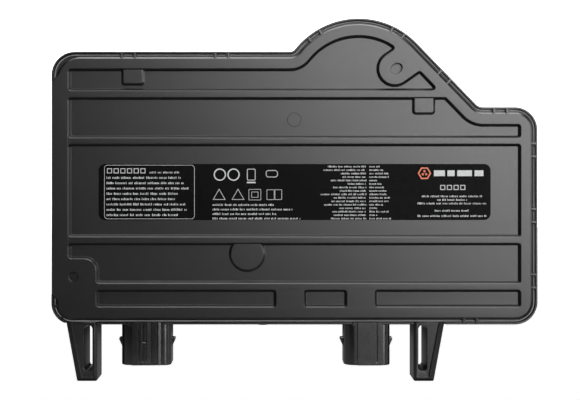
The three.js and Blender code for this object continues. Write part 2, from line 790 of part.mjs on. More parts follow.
/** An aluminium can standing on the board, with a rolled groove near its base. */
function electrolyticCan(x, z, r, high) {
  const top = COMPONENT_BASE - high;
  const profile = [
    [0, top],
    [r - 0.8, top],
    [r, top + 0.8],
    [r, COMPONENT_BASE - 3],
    [r - 0.6, COMPONENT_BASE - 2.3],
    [r, COMPONENT_BASE - 1.6],
    [r, COMPONENT_BASE],
    [0, COMPONENT_BASE],
  ];
  return turnedAlongY(profile, x, z, 20);
}

const TRANSFORMER = { x: 34, z: 150, halfWidth: 19, halfLength: 15, leg: 4.5, yoke: 3 };
const CORE = { front: -9.4, split: -1.6 }; // Y of the core's front, and of the joint in it
const BOBBIN = { halfWidth: 12.5, beyond: 7, front: 11.4, back: 3.4 };

/** One half of the transformer's core: an E, its three legs meeting the other half's. */
function transformerHalf(front, back, legsTowardsBack) {
  const { x, z, halfWidth, halfLength, leg, yoke } = TRANSFORMER;
  const span = legsTowardsBack ? [front, front + yoke] : [back - yoke, back];
  const body = block(x - halfWidth, x + halfWidth, ...span, z - halfLength, z + halfLength);
  const legs = [-halfWidth + leg / 2, 0, halfWidth - leg / 2].map((at, i) => {
    const half = i === 1 ? leg : leg / 2;
    return block(x + at - half, x + at + half, front, back, z - halfLength, z + halfLength);
  });
  return join(body, ...legs);
}

/** The wound bobbin round the transformer's middle leg. */
function transformerWinding() {
  const { x, z, halfLength, leg } = TRANSFORMER;
  const across = BOBBIN.halfWidth;
  const along = halfLength + BOBBIN.beyond;
  const outer = rectangle(x - across, x + across, z - along, z + along, 5);
  const side = leg + GAP;
  const end = halfLength + GAP;
  const inner = rectangle(x - side, x + side, z - end, z + end, 0.5);
  const front = COMPONENT_BASE - BOBBIN.front;
  const back = COMPONENT_BASE - BOBBIN.back;
  return cut(slab(outer, front, back), slab(inner, front - 1, back + 1));
}

const CHOKE = { flange: 2, waist: 0.45 }; // flange thickness, and waist as a share of radius

/** A drum-shaped choke core: two flanges on a waist. */
function chokeCore(x, z, r, high) {
  const top = COMPONENT_BASE - high;
  const waist = r * CHOKE.waist;
  const profile = [
    [0, top],
    [r, top],
    [r, top + CHOKE.flange],
    [waist, top + CHOKE.flange],
    [waist, COMPONENT_BASE - CHOKE.flange],
    [r, COMPONENT_BASE - CHOKE.flange],
    [r, COMPONENT_BASE],
    [0, COMPONENT_BASE],
  ];
  return turnedAlongY(profile, x, z, 24);
}

/** The choke's winding, a ring between the flanges. */
function chokeWinding(x, z, r, high) {
  const inner = r * CHOKE.waist + GAP;
  const outer = r - 0.7;
  const front = COMPONENT_BASE - high + CHOKE.flange + GAP;
  const back = COMPONENT_BASE - CHOKE.flange - GAP;
  const profile = [
    [inner, front],
    [outer - 0.5, front],
    [outer, front + 0.5],
    [outer, back - 0.5],
    [outer - 0.5, back],
    [inner, back],
    [inner, front],
  ];
  return turnedAlongY(profile, x, z, 24);
}

/** A block with rounded corners: a chip, a box-shaped capacitor or a plate. */
const moulded = (left, right, low, high, front, back, chamfer = 0, corner = 0.8) =>
  slab(rectangle(left, right, low, high, corner), front, back, chamfer);

/** A thin metal lid, open towards the board. */
function shieldCan(left, right, low, high) {
  const sheet = 0.4;
  const front = COMPONENT_BASE - 3.4;
  return cut(
    slab(rectangle(left, right, low, high, 1), front, COMPONENT_BASE),
    block(
      left + sheet,
      right - sheet,
      front + sheet,
      COMPONENT_BASE + 1,
      low + sheet,
      high - sheet,
    ),
  );
}

/** The surge varistor, a disc on edge, and the fuse, a capped tube along X. */
const varistor = (x, z) =>
  turned([
    [0, -2.2],
    [4.6, -2.2],
    [5.4, -1.4],
    [5.4, 1.4],
    [4.6, 2.2],
    [0, 2.2],
  ])
    .rotateY(QUARTER)
    .translate(x, COMPONENT_BASE - 5.6, z);

const fuse = (x, z) =>
  turned(
    [
      [0, -10],
      [2.6, -10],
      [2.6, -5],
      [2.3, -5],
      [2.3, 5],
      [2.6, 5],
      [2.6, 10],
      [0, 10],
    ],
    16,
  )
    .rotateY(QUARTER)
    .translate(x, COMPONENT_BASE - 3, z);

// ---- The assembly ------------------------------------------------------------------------

const inverter = new THREE.Group();

function add(name, geometry, finish) {
  const mesh = new THREE.Mesh(geometry, FINISH[finish]);
  mesh.name = name;
  inverter.add(mesh);
}

add("front_cover", frontCover(), "casing");
add("rear_housing", rearHousing(), "casing");
add("perimeter_seal", perimeterSeal(), "seal");
add("foot_left", foot((points) => points), "casing");
add("foot_right", foot(mirrored), "casing");
add("rating_label", ratingLabel(), "label");
add("status_lens", statusLens(), "lens");

const DC_CONTACTS = { positive: DC.x - 6, negative: DC.x + 6 };
const AC_CONTACTS = { 1: AC.x - 6.5, 2: AC.x, 3: AC.x + 6.5 };
// The upright bars on each connector's front, from its middle.
const DC_BARS = [
  [-10.6, 7.6],
  [9.3, 10.5],
];
const AC_BARS = [
  [-6.1, 4.7],
  [6.3, 8],
];

add("dc_connector_shell", connectorShell(DC, DC_BARS, Object.values(DC_CONTACTS)), "connector");
add("dc_connector_insert", connectorInsert(DC, Object.values(DC_CONTACTS)), "insulator");
add("dc_connector_gasket", neckGasket(DC), "seal");
for (const [pole, x] of Object.entries(DC_CONTACTS)) {
  add(`dc_contact_${pole}`, contact(x), "contact");
}
add("ac_connector_shell", connectorShell(AC, AC_BARS, Object.values(AC_CONTACTS)), "connector");
add("ac_connector_insert", connectorInsert(AC, Object.values(AC_CONTACTS)), "insulator");
add("ac_connector_gasket", neckGasket(AC), "seal");
for (const [number, x] of Object.entries(AC_CONTACTS)) {
  add(`ac_contact_${number}`, contact(x), "contact");
}

add("circuit_board", circuitBoard(), "board");
BOSSES.forEach((at, i) => add(`board_screw_${i + 1}`, boardScrew(at), "steel"));
INSERTS.forEach((at, i) => add(`bracket_insert_${i + 1}`, bracketInsert(at), "contact"));

// Between the board and the back wall, each a little clear of the next.
const SWITCHES = { front: BOARD.back + 0.2, back: 9.9 };
const SPREADER = { front: 10.1, back: 11.5 };
const THERMAL_PAD = { front: 11.6, back: 12.2 };
add(
  "heat_spreader",
  moulded(-62, 86, 62, 146, SPREADER.front, SPREADER.back, 0, 2),
  "aluminium",
);
add(
  "thermal_pad",
  moulded(-58, 82, 66, 142, THERMAL_PAD.front, THERMAL_PAD.back, 0, 2),
  "pad",
);
for (let i = 0; i < 4; i++) {
  const x = -44 + 34 * i;
  const chip = moulded(x, x + 10, 98, 108, SWITCHES.front, SWITCHES.back, 0.2);
  add(`power_switch_${i + 1}`, chip, "chip");
  add(`input_capacitor_${i + 1}`, electrolyticCan(-104 + 15 * i, 84, 6.3, 14), "can");
}

// On the board's front.
const { front: coreFront, split } = CORE;
add("transformer_core_back", transformerHalf(split + GAP, COMPONENT_BASE, false), "ferrite");
add("transformer_core_front", transformerHalf(coreFront, split, true), "ferrite");
add("transformer_winding", transformerWinding(), "copper");
add("resonant_choke_core", chokeCore(-20, 132, 11, 14), "ferrite");
add("resonant_choke_winding", chokeWinding(-20, 132, 11, 14), "copper");
add("output_choke_core", chokeCore(44, 82, 9, 13), "ferrite");
add("output_choke_winding", chokeWinding(44, 82, 9, 13), "copper");
add("film_capacitor_1", moulded(66, 86, 76, 85, -7, COMPONENT_BASE, 0.6), "film");
add("film_capacitor_2", moulded(66, 86, 62, 71, -7, COMPONENT_BASE, 0.6), "film");
add("control_chip", moulded(-66, -54, 112, 124, 4.4, COMPONENT_BASE, 0.2), "chip");
add("radio_shield", shieldCan(-112, -84, 108, 132), "steel");
add("surge_varistor", varistor(26, 58), "ceramic");
add("fuse", fuse(52, 58), "ceramic");
add("status_led", moulded(LENS.x - 1.6, LENS.x + 1.6, 41, 43.4, 3.4, COMPONENT_BASE, 0.2), "lens");

export default inverter;
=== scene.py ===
"""Looks of the micro inverter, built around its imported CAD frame.

Outlines and offsets are in millimetres in the frame's own axes: X along the case, Y from the
labelled front to the back, Z up. They turn into metres where a vertex is made.
"""

import json
import math
import random

import bmesh
import bpy
from mathutils import Matrix, Vector


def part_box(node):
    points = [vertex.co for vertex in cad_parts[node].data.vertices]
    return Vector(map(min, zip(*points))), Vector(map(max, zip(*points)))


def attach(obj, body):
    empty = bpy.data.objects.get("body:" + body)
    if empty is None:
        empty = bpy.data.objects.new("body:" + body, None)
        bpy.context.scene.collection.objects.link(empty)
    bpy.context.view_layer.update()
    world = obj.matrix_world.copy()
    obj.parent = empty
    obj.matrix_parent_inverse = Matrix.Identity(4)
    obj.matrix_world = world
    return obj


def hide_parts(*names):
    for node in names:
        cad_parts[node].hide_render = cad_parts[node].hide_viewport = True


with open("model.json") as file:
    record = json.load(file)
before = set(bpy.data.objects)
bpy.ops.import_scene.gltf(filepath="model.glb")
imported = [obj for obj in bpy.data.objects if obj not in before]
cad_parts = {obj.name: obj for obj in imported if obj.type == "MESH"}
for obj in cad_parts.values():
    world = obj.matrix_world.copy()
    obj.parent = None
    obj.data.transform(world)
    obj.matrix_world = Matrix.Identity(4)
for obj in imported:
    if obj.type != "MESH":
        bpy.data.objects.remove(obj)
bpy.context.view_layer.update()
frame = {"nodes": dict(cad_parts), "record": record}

MM = 0.001
QUARTER = math.pi / 2


def box_mm(node):
    """The lowest and highest corners of a CAD node, in millimetres."""
    low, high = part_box(node)
    return low / MM, high / MM


# ---- Sizes, worked out from the frame ----

case_low, case_high = box_mm("rear_housing")
cover_low, cover_high = box_mm("front_cover")
label_low, label_high = box_mm("rating_label")
foot_low, foot_high = box_mm("foot_left")
foot_right_high = box_mm("foot_right")[1]
lens_low, lens_high = box_mm("status_lens")

HALF_WIDTH = (case_high.x - case_low.x) / 2
BOTTOM = case_low.z
HUMP_TOP = case_high.z
RIM_FRONT = case_low.y
BACK = case_high.y
FACE = cover_low.y
COVER_BACK = cover_high.y

TOP = HUMP_TOP - 19.4  # the straight part of the top edge
SHOULDER = HUMP_TOP - 51.7  # the lower top edge at the right-hand end
HUMP_R = 47.4
HUMP_X = 37.4
HUMP_Z = HUMP_TOP - HUMP_R
SLOPE_FOOT = HALF_WIDTH - 34.2  # where the slope off the hump meets the shoulder line
HUMP_FILLET = 3.5
SLOPE_FILLET = 5.6
CORNERS = {"top_left": 13.8, "bottom_left": 12.3, "bottom_right": 13.2, "top_right": 13.2}

LEDGE = COVER_BACK + 0.3  # the housing's ledge, just behind the cover
WALL = 4.2  # thickness of the case's sides
BACK_WALL = 2.6
PAD_R = 9  # of the flat pad round each insert in the back
INSERT_HOLE_R, INSERT_HOLE_DEPTH = 3.15, 2.5
SEAL_INSET = 1.65  # from the outside of the case to the seal
SEAL_HIGH = 1.75
GROOVE_FLOOR = LEDGE + 3
RIM_WIDTH = 1.1
COVER_INSET = 3.05
COVER_BEVEL = 1.2
FLUSH_LOW = BOTTOM + 17.7  # between these heights the cover runs out to the left side
FLUSH_HIGH = TOP - 17.6
FLUSH_EDGE = -HALF_WIDTH + 0.4

PANEL_DEPTH = 2.2
LAND_DEPTH = 0.9  # from the face back to the low lands in the panels
PANEL_SIDE = HALF_WIDTH - 9.7
PANEL_INSET = 9.8
PANEL_CORNER = 2.1

# ---- Outlines ----


def arc(x, z, r, start, end):
    """Points along an arc: about 1.6 mm apart, but no closer than 2.5 degrees nor wider than 9."""
    spacing, finest, coarsest = 1.6, math.radians(2.5), math.radians(9)
    step = min(coarsest, spacing / max(r, 0.1))
    step = max(step, finest)
    count = max(2, math.ceil(abs(end - start) / step))
    angles = [start + (end - start) * i / count for i in range(count + 1)]
    return [(x + r * math.cos(a), z + r * math.sin(a)) for a in angles]


def rounded(corners):
    """A closed outline from corners (x, z, radius); a corner with no radius stays a point."""
    points = []
    for i, corner in enumerate(corners):
        x, z = corner[:2]
        r = corner[2] if len(corner) > 2 else 0
        if not r:
            points.append((x, z))
            continue
        before = corners[i - 1]
        after = corners[(i + 1) % len(corners)]
        here = Vector((x, z))
        u = (Vector(before[:2]) - here).normalized()
        v = (Vector(after[:2]) - here).normalized()
        half = u.angle(v) / 2
        centre = here + (u + v).normalized() * r / math.sin(half)
        start = here + u * r / math.tan(half) - centre
        turn = (math.pi - 2 * half) * math.copysign(1, u.y * v.x - u.x * v.y)
        angle = math.atan2(start.y, start.x)
        points += arc(centre.x, centre.y, r, angle, angle + turn)
    return points


def rectangle(left, right, low, high, r):
    return rounded([(left, low, r), (right, low, r), (right, high, r), (left, high, r)])


def circle(x, z, r, stretch=1.0, lean=0.0):
    """A circle, or an oval stretched along a leaning axis."""
    count = 48
    cosine, sine = math.cos(lean), math.sin(lean)
    points = []
    for i in range(count):
        a = 2 * math.pi * i / count
        u, v = stretch * r * math.cos(a), r * math.sin(a)
        points.append((x + u * cosine - v * sine, z + u * sine + v * cosine))
    return points


def offset(points, inset):
    """The closed outline moved inwards by an inset, point for point."""
    spots = [Vector(point) for point in points]
    edges = [after - here for here, after in zip(spots, spots[1:] + spots[:1])]
    sense = math.copysign(1, sum(a.cross(b) for a, b in zip(spots, spots[1:] + spots[:1])))
    normals = [Vector((-edge.y, edge.x)).normalized() * sense for edge in edges]
    moved = []
    for i, spot in enumerate(spots):
        middle = (normals[i - 1] + normals[i]).normalized()
        moved.append(tuple(spot + middle * inset / middle.dot(normals[i])))
    return moved


SLOPE_ANGLE = math.atan2(SHOULDER - HUMP_Z, SLOPE_FOOT - HUMP_X) + math.acos(
    HUMP_R / math.hypot(SHOULDER - HUMP_Z, SLOPE_FOOT - HUMP_X)
)
HUMP_FILLET_Z = TOP + HUMP_FILLET
HUMP_FILLET_X = HUMP_X - math.sqrt((HUMP_R + HUMP_FILLET) ** 2 - (HUMP_FILLET_Z - HUMP_Z) ** 2)
HUMP_FILLET_ANGLE = math.atan2(HUMP_Z - HUMP_FILLET_Z, HUMP_X - HUMP_FILLET_X)
SLOPE_FILLET_Z = SHOULDER + SLOPE_FILLET


def slope_x(inset, z):
    """X at height z on the line that runs parallel to the slope, an inset inside it."""
    rise = math.sin(SLOPE_ANGLE) * (z - HUMP_Z)
    return HUMP_X + (HUMP_R - inset - rise) / math.cos(SLOPE_ANGLE)


def hump_arc(inset, start):
    """The hump's arc from an angle leftwards, with the fillet at its left-hand foot."""
    end = HUMP_FILLET_ANGLE + math.pi
    over = arc(HUMP_X, HUMP_Z, HUMP_R - inset, start, end)
    foot = arc(HUMP_FILLET_X, HUMP_FILLET_Z, HUMP_FILLET + inset, HUMP_FILLET_ANGLE, -QUARTER)
    return over + foot[1:]


def case_outline(inset=0.0, left_side=(), ease=0.0):
    """The outline of the case, an inset inside it, with extra points on its left side.

    Its upper left corner is rounder by the ease.
    """
    def corner(side, z, r, start):
        return arc(side * (HALF_WIDTH - r), z, r - inset, start, start + QUARTER)

    r = CORNERS
    slope_fillet_x = slope_x(-SLOPE_FILLET, SLOPE_FILLET_Z)
    return [
        *corner(-1, BOTTOM + r["bottom_left"], r["bottom_left"], math.pi),
        *corner(1, BOTTOM + r["bottom_right"], r["bottom_right"], -QUARTER),
        *corner(1, SHOULDER - r["top_right"], r["top_right"], 0),
        *arc(slope_fillet_x, SLOPE_FILLET_Z, SLOPE_FILLET + inset, -QUARTER, SLOPE_ANGLE - math.pi),
        *hump_arc(inset, SLOPE_ANGLE),
        *corner(-1, TOP - r["top_left"] - ease, r["top_left"] + ease, QUARTER),
        *left_side,
    ]


# ---- Mesh building ----


def ring(bm, points, level, flat=False):
    """A loop of vertices: an outline standing in X-Z at Y = level, or lying in X-Y at Z = level."""
    if flat:
        places = [Vector((a, b, level)) for a, b in points]
    else:
        places = [Vector((a, level, b)) for a, b in points]
    return [bm.verts.new(place * MM) for place in places]


def skin(bm, first, second):
    """Joins two rings of the same count with a band of faces."""
    count = len(first)
    for i in range(count):
        j = (i + 1) % count
        bm.faces.new((first[i], first[j], second[j], second[i]))


def sweep(bm, points, profile, flat=False):
    """Rings at each (inset, level) of a profile, joined in turn; gives the first and the last."""
    rings = [ring(bm, offset(points, inset), level, flat) for inset, level in profile]
    for first, second in zip(rings, rings[1:]):
        skin(bm, first, second)
    return rings[0], rings[-1]


def fill(bm, *rings):
    """Closes a flat area bounded by one ring, with any others as holes in it."""
    edges = []
    for loop in rings:
        for first, second in zip(loop, loop[1:] + loop[:1]):
            edges.append(bm.edges.get((first, second)) or bm.edges.new((first, second)))
    bmesh.ops.triangle_fill(bm, use_beauty=True, use_dissolve=False, edges=edges)


def plug(bm, points, profile, flat=False):
    """A sweep that is closed at both ends."""
    for end in sweep(bm, points, profile, flat):
        fill(bm, end)


def finish_mesh(bm, name, sharp=None):
    """Turns a bmesh into an object, shaded smooth up to an angle if one is given."""
    bmesh.ops.remove_doubles(bm, verts=bm.verts[:], dist=1e-7)
    bmesh.ops.recalc_face_normals(bm, faces=bm.faces[:])
    mesh = bpy.data.meshes.new(name)
    bm.to_mesh(mesh)
    bm.free()
    piece = bpy.data.objects.new(name, mesh)
    bpy.context.scene.collection.objects.link(piece)
    if sharp:
        smooth(piece, sharp)
    return piece


def smooth(piece, sharp):
    """Smooth shading up to an angle, with the flat faces kept flat by weighted normals."""
    piece.data.polygons.foreach_set("use_smooth", [True] * len(piece.data.polygons))
    piece.data.set_sharp_from_angle(angle=math.radians(sharp))
    weighted = piece.modifiers.new("weighted", "WEIGHTED_NORMAL")
    weighted.keep_sharp = True
    weighted.weight = 100
    apply_modifiers(piece)


def apply_modifiers(piece):
    """Replaces a piece's mesh by its evaluated one."""
    graph = bpy.context.evaluated_depsgraph_get()
    done = bpy.data.meshes.new_from_object(piece.evaluated_get(graph))
    piece.modifiers.clear()
    piece.data = done


def combine(base, tools, operation):
    """Booleans a list of tool objects into the base, one by one, and removes them."""
    for tool in tools:
        change = base.modifiers.new("change", "BOOLEAN")
        change.operation = operation
        change.solver = "MANIFOLD"
        change.object = tool
        apply_modifiers(base)
        bpy.data.objects.remove(tool)
    return base


def solid(points, front, back, name="tool", edge=0.0):
    """An outline made solid between two levels, its front edge rounded over by an edge radius."""
    bm = bmesh.new()
    profile = [(0, back), (0, front + edge)]
    if edge:
        profile += [(0.3 * edge, front + 0.3 * edge), (edge, front)]
    plug(bm, points, profile)
    return finish_mesh(bm, name)


def block(bm, low, high):
    """Adds a closed box between two corners, in millimetres."""
    size = Vector(high) - Vector(low)
    middle = (Vector(high) + Vector(low)) / 2
    place = Matrix.Translation(middle * MM) @ Matrix.Diagonal((*(size * MM), 1))
    bmesh.ops.create_cube(bm, size=1, matrix=place)


# ---- Materials ----


class Nodes:
    """Short names for building one material's node tree."""

    def __init__(self, name):
        self.material = bpy.data.materials.new(name)
        self.material.use_nodes = True
        self.tree = self.material.node_tree
        self.shader = self.tree.nodes["Principled BSDF"]

    def add(self, kind, **values):
        node = self.tree.nodes.new(kind)
        for key, value in values.items():
            if key in node.inputs:
                node.inputs[key].default_value = value
            else:
                setattr(node, key, value)
        return node

    def link(self, source, target):
        self.tree.links.new(source, target)

    def set(self, **values):
        for key, value in values.items():
            self.shader.inputs[key.replace("_", " ")].default_value = value

    def place(self):
        return self.add("ShaderNodeTexCoord").outputs["Object"]

    def noise(self, scale, detail=3.0, roughness=0.5):
        node = self.add("ShaderNodeTexNoise", Scale=scale, Detail=detail, Roughness=roughness)
        self.link(self.place(), node.inputs["Vector"])
        return node.outputs["Fac"]

    def between(self, source, low, high, start=0.3, end=0.7):
        node = self.add("ShaderNodeMapRange")
        node.inputs["From Min"].default_value = start
        node.inputs["From Max"].default_value = end
        node.inputs["To Min"].default_value = low
        node.inputs["To Max"].default_value = high
        self.link(source, node.inputs["Value"])
        return node.outputs["Result"]

    def colours(self, source, first, second):
        node = self.add("ShaderNodeMix", data_type="RGBA")
        node.inputs["A"].default_value = (*first, 1)
        node.inputs["B"].default_value = (*second, 1)
        self.link(source, node.inputs["Factor"])
        self.link(node.outputs["Result"], self.shader.inputs["Base Color"])

    def bump(self, height, distance, strength=1.0, under=None):
        node = self.add("ShaderNodeBump", Strength=strength, Distance=distance)
        self.link(height, node.inputs["Height"])
        if under is not None:
            self.link(under, node.inputs["Normal"])
        self.link(node.outputs["Normal"], self.shader.inputs["Normal"])
        return node.outputs["Normal"]


def moulded_plastic(name, shade, gloss, grain=0.00002, grain_scale=2600, index=1.5):
    """Moulded plastic: fine spark-eroded grain, slow waviness, and uneven gloss."""
    n = Nodes(name)
    darker, lighter = tuple(0.85 * c for c in shade), tuple(1.12 * c for c in shade)
    n.colours(n.between(n.noise(60, 4), 0, 1), darker, lighter)
    n.link(n.between(n.noise(400, 4), gloss - 0.015, gloss + 0.02), n.shader.inputs["Roughness"])
    wave = n.bump(n.noise(14, 1), 0.0002, 0.04)
    n.bump(n.noise(grain_scale, 2, 0.6), grain, 0.5, wave)
    n.set(IOR=index)
    return n.material


def printed_ink(name, shade):
    """Label ink: a thin, slightly uneven matt film."""
    n = Nodes(name)
    n.colours(n.between(n.noise(400, 3), 0, 1), tuple(0.86 * c for c in shade), shade)
    n.link(n.between(n.noise(700, 2), 0.45, 0.6), n.shader.inputs["Roughness"])
    return n.material


def metal(name, shade, gloss):
    """Plated or plain metal with fine directional scratches and cloudy gloss."""
    n = Nodes(name)
    stretch = n.add("ShaderNodeMapping")
    stretch.inputs["Scale"].default_value = (1, 1, 12)
    n.link(n.place(), stretch.inputs["Vector"])
    lines = n.add("ShaderNodeTexNoise", Scale=300, Detail=4)
    n.link(stretch.outputs["Vector"], lines.inputs["Vector"])
    n.colours(n.between(n.noise(60, 3), 0, 1), tuple(0.88 * c for c in shade), shade)
    n.link(n.between(lines.outputs["Fac"], gloss - 0.06, gloss + 0.1), n.shader.inputs["Roughness"])
    n.bump(lines.outputs["Fac"], 0.00003, 0.3)
    n.set(Metallic=1.0)
    return n.material


def circuit_laminate(name):
    """Solder-masked laminate: green film with copper traces beneath."""
    n = Nodes(name)
    traces = n.add("ShaderNodeTexBrick", Scale=60, offset=0.37)
    traces.inputs["Mortar Size"].default_value = 0.03
    turn = n.add("ShaderNodeMapping")
    turn.inputs["Rotation"].default_value = (QUARTER, 0, 0)
    n.link(n.place(), turn.inputs["Vector"])
    n.link(turn.outputs["Vector"], traces.inputs["Vector"])
    n.colours(traces.outputs["Fac"], (0.012, 0.085, 0.035), (0.03, 0.16, 0.06))
    n.bump(traces.outputs["Fac"], 0.00004, 0.6)
    n.link(n.between(n.noise(200, 2), 0.28, 0.42), n.shader.inputs["Roughness"])
    return n.material


def enamelled_wire(name):
    """A lacquered copper winding: turns seen as close round ridges, with painted shade in the
    grooves between turns and a painted highlight along their crests.
    """
    n = Nodes(name)
    wave = n.add("ShaderNodeTexWave", Scale=260, bands_direction="Y")
    n.link(n.place(), wave.inputs["Vector"])
    # painted shade and highlight: the copper is darker in the grooves and lighter on the crests,
    # following the same bands as the bump
    n.colours(wave.outputs["Fac"], (0.2, 0.06, 0.02), (0.62, 0.25, 0.1))
    n.bump(wave.outputs["Fac"], 0.0003, 0.8)
    n.link(n.between(n.noise(150, 2), 0.2, 0.35), n.shader.inputs["Roughness"])
    n.set(Metallic=0.85, Coat_Weight=0.6, Coat_Roughness=0.15)
    return n.material


def smoked_lens(name):
    """Smoked polished polycarbonate, faintly wavy."""
    n = Nodes(name)
    n.colours(n.between(n.noise(60, 2), 0, 1), (0.05, 0.05, 0.052), (0.16, 0.16, 0.165))
    n.link(n.between(n.noise(90, 2), 0.03, 0.09), n.shader.inputs["Roughness"])
    n.bump(n.noise(120, 2), 0.0001, 0.1)
    n.set(Transmission_Weight=0.5, IOR=1.58)
    return n.material


def label_film(name):
    """Printed black film: matt, faintly streaked, and much blacker than the case."""
    n = Nodes(name)
    n.colours(n.between(n.noise(25, 3), 0, 1), (0.0012, 0.0012, 0.0013), (0.0019, 0.0019, 0.002))
    n.link(n.between(n.noise(240, 3), 0.36, 0.46), n.shader.inputs["Roughness"])
    n.bump(n.noise(900, 2), 0.00001, 0.3)
    n.set(IOR=1.1)
    return n.material


MATERIALS = {
    "casing": moulded_plastic(
        "black_casing_plastic", (0.0028, 0.0028, 0.0029), 0.34, index=1.54,
    ),
    "connector": moulded_plastic(
        "connector_plastic", (0.001, 0.001, 0.0011), 0.25, 0.00001, index=1.9,
    ),
    "seal": moulded_plastic("seal_rubber", (0.13, 0.13, 0.132), 0.6, 0.00004, 1500),
    "label": label_film("label_film"),
    "ink": printed_ink("white_ink", (0.22, 0.22, 0.223)),
    "accent": printed_ink("orange_ink", (0.3, 0.06, 0.02)),
    "lens": smoked_lens("smoked_lens"),
    "insulator": moulded_plastic("insulator_plastic", (0.02, 0.02, 0.022), 0.5, 0.00003),
    "contact": metal("plated_brass", (0.78, 0.58, 0.28), 0.25),
    "board": circuit_laminate("circuit_laminate"),
    "aluminium": metal("plain_aluminium", (0.72, 0.73, 0.75), 0.34),
    "pad": moulded_plastic("thermal_pad_silicone", (0.2, 0.28, 0.36), 0.75, 0.00005, 1200),
    "ferrite": moulded_plastic("sintered_ferrite", (0.03, 0.03, 0.032), 0.7, 0.00006, 1800),
    "copper": enamelled_wire("enamelled_wire"),
    "can": moulded_plastic("capacitor_sleeve", (0.012, 0.03, 0.1), 0.35, 0.00001, 900),
    "film": moulded_plastic("film_capacitor_box", (0.42, 0.26, 0.03), 0.4, 0.00002, 1500),
    "chip": moulded_plastic("chip_mould", (0.012, 0.012, 0.013), 0.6, 0.00003, 2400),
    "steel": metal("plated_steel", (0.6, 0.61, 0.62), 0.3),
    "ceramic": moulded_plastic("lacquered_ceramic", (0.03, 0.1, 0.22), 0.35, 0.00002, 1500),
}


def dress(piece, slot, *nodes, finish=None):
    """Gives a piece the material of its slot, hangs it on the root body, and hides the nodes that
    it stands for.
    """
    piece.data.materials.clear()
    piece.data.materials.append(MATERIALS[finish or slot])
    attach(piece, "root")
    if nodes:
        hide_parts(*nodes)
    return piece


# ---- The cover ----

HOOK_X = HUMP_X + 21.0
HOOK_Z = HUMP_Z + 18.0
HOOK_R = 9.0
HOOK_LEAN = math.radians(35)
TIP_GAP = 0.13  # radians of the hump's arc left for rounding the panel's tip by the hook
OVAL_R, OVAL_STRETCH, OVAL_DEPTH = 2.9, 1.25, 3.0  # the blind hole in the hook
ROUND_R, ROUND_DEPTH = 2.7, 1.6  # the small blind hole at the lower left
STEP_X = -HALF_WIDTH + 25.9  # left-hand end of everything below the stepped panel's step
SECOND_TOP = SHOULDER + 5.8


def upper_panel():
    """The recessed panel that follows the top edge and bends round the hook-shaped land."""
    low = TOP - 23.1
    edge = HUMP_R - PANEL_INSET
    lean = Vector((math.cos(HOOK_LEAN), math.sin(HOOK_LEAN)))
    hump = Vector((HUMP_X, HUMP_Z))
    hook = Vector((HOOK_X, HOOK_Z))
    across = Vector((-lean.y, lean.x)) * HOOK_R
    start = hook + across - hump
    run = math.sqrt(start.dot(lean) ** 2 - start.length_squared + edge**2) - start.dot(lean)
    tip = hump + start + lean * run
    foot = hook - across
    outward = Vector((math.cos(SLOPE_ANGLE), math.sin(SLOPE_ANGLE)))
    reach = (edge - outward.dot(foot - hump)) / outward.dot(lean)
    corner = foot + lean * reach
    tip_angle = math.atan2(tip.y - HUMP_Z, tip.x - HUMP_X)
    return rounded([
        (-PANEL_SIDE, low, PANEL_CORNER),
        (slope_x(PANEL_INSET, low), low, PANEL_CORNER),
        (corner.x, corner.y, PANEL_CORNER),
        *arc(HOOK_X, HOOK_Z, HOOK_R, HOOK_LEAN - QUARTER, HOOK_LEAN - 3 * QUARTER),
        (tip.x, tip.y, PANEL_CORNER),
        *hump_arc(PANEL_INSET, tip_angle + TIP_GAP),
        (-PANEL_SIDE, TOP - PANEL_INSET, PANEL_CORNER),
    ])


def second_panel():
    """The panel whose right-hand end drops under the slope and the shoulder."""
    low = SHOULDER - 18.3
    high = SECOND_TOP
    shoulder = SHOULDER - PANEL_INSET
    return rounded([
        (-PANEL_SIDE, low, PANEL_CORNER),
        (PANEL_SIDE, low, PANEL_CORNER),
        (PANEL_SIDE, shoulder, PANEL_CORNER),
        (slope_x(PANEL_INSET, shoulder), shoulder, SLOPE_FILLET + PANEL_INSET),
        (slope_x(PANEL_INSET, high), high, PANEL_CORNER),
        (-PANEL_SIDE, high, PANEL_CORNER),
    ])


def middle_panel():
    """The panel that holds the label."""
    return rectangle(-PANEL_SIDE, PANEL_SIDE, BOTTOM + 50.9, BOTTOM + 105.5, PANEL_CORNER)


def stepped_panel():
    """The panel that steps round the small hole at its left-hand end."""
    low = BOTTOM + 23.8
    high = BOTTOM + 47.8
    step = BOTTOM + 38.2
    return rounded([
        (-PANEL_SIDE, step, PANEL_CORNER),
        (STEP_X, step, 6.7),
        (STEP_X, low, PANEL_CORNER),
        (PANEL_SIDE, low, PANEL_CORNER),
        (PANEL_SIDE, high, PANEL_CORNER),
        (-PANEL_SIDE, high, PANEL_CORNER),
    ])


def lower_panels():
    """The three short panels along the bottom."""
    low = BOTTOM + 10.1
    high = BOTTOM + 20.6
    spans = [(STEP_X, -10.4), (5.3, 30.8), (46.4, PANEL_SIDE)]
    return [rectangle(left, right, low, high, PANEL_CORNER) for left, right in spans]


def wall_profile(depth):
    """A panel's wall: a narrow chamfer at the face, a steep drop, and a small fillet."""
    chamfer, fillet, steep = 0.55, 0.15, math.radians(57)
    foot = chamfer + (depth - chamfer - fillet) / math.tan(steep)
    return [
        (0, 0),
        (0.09, 0.04),
        (chamfer - 0.04, chamfer - 0.1),
        (chamfer + 0.02, chamfer + 0.02),
        (foot, depth - fillet),
        (foot + 0.6 * fillet, depth - 0.2 * fillet),
        (foot + 1.3 * fillet, depth),
    ]


def sink(bm, points, face, depth, towards=1):
    """The walls of a recessed panel; gives its rings at the face and at the floor."""
    profile = [(inset, face + towards * level) for inset, level in wall_profile(depth)]
    return sweep(bm, points, profile)


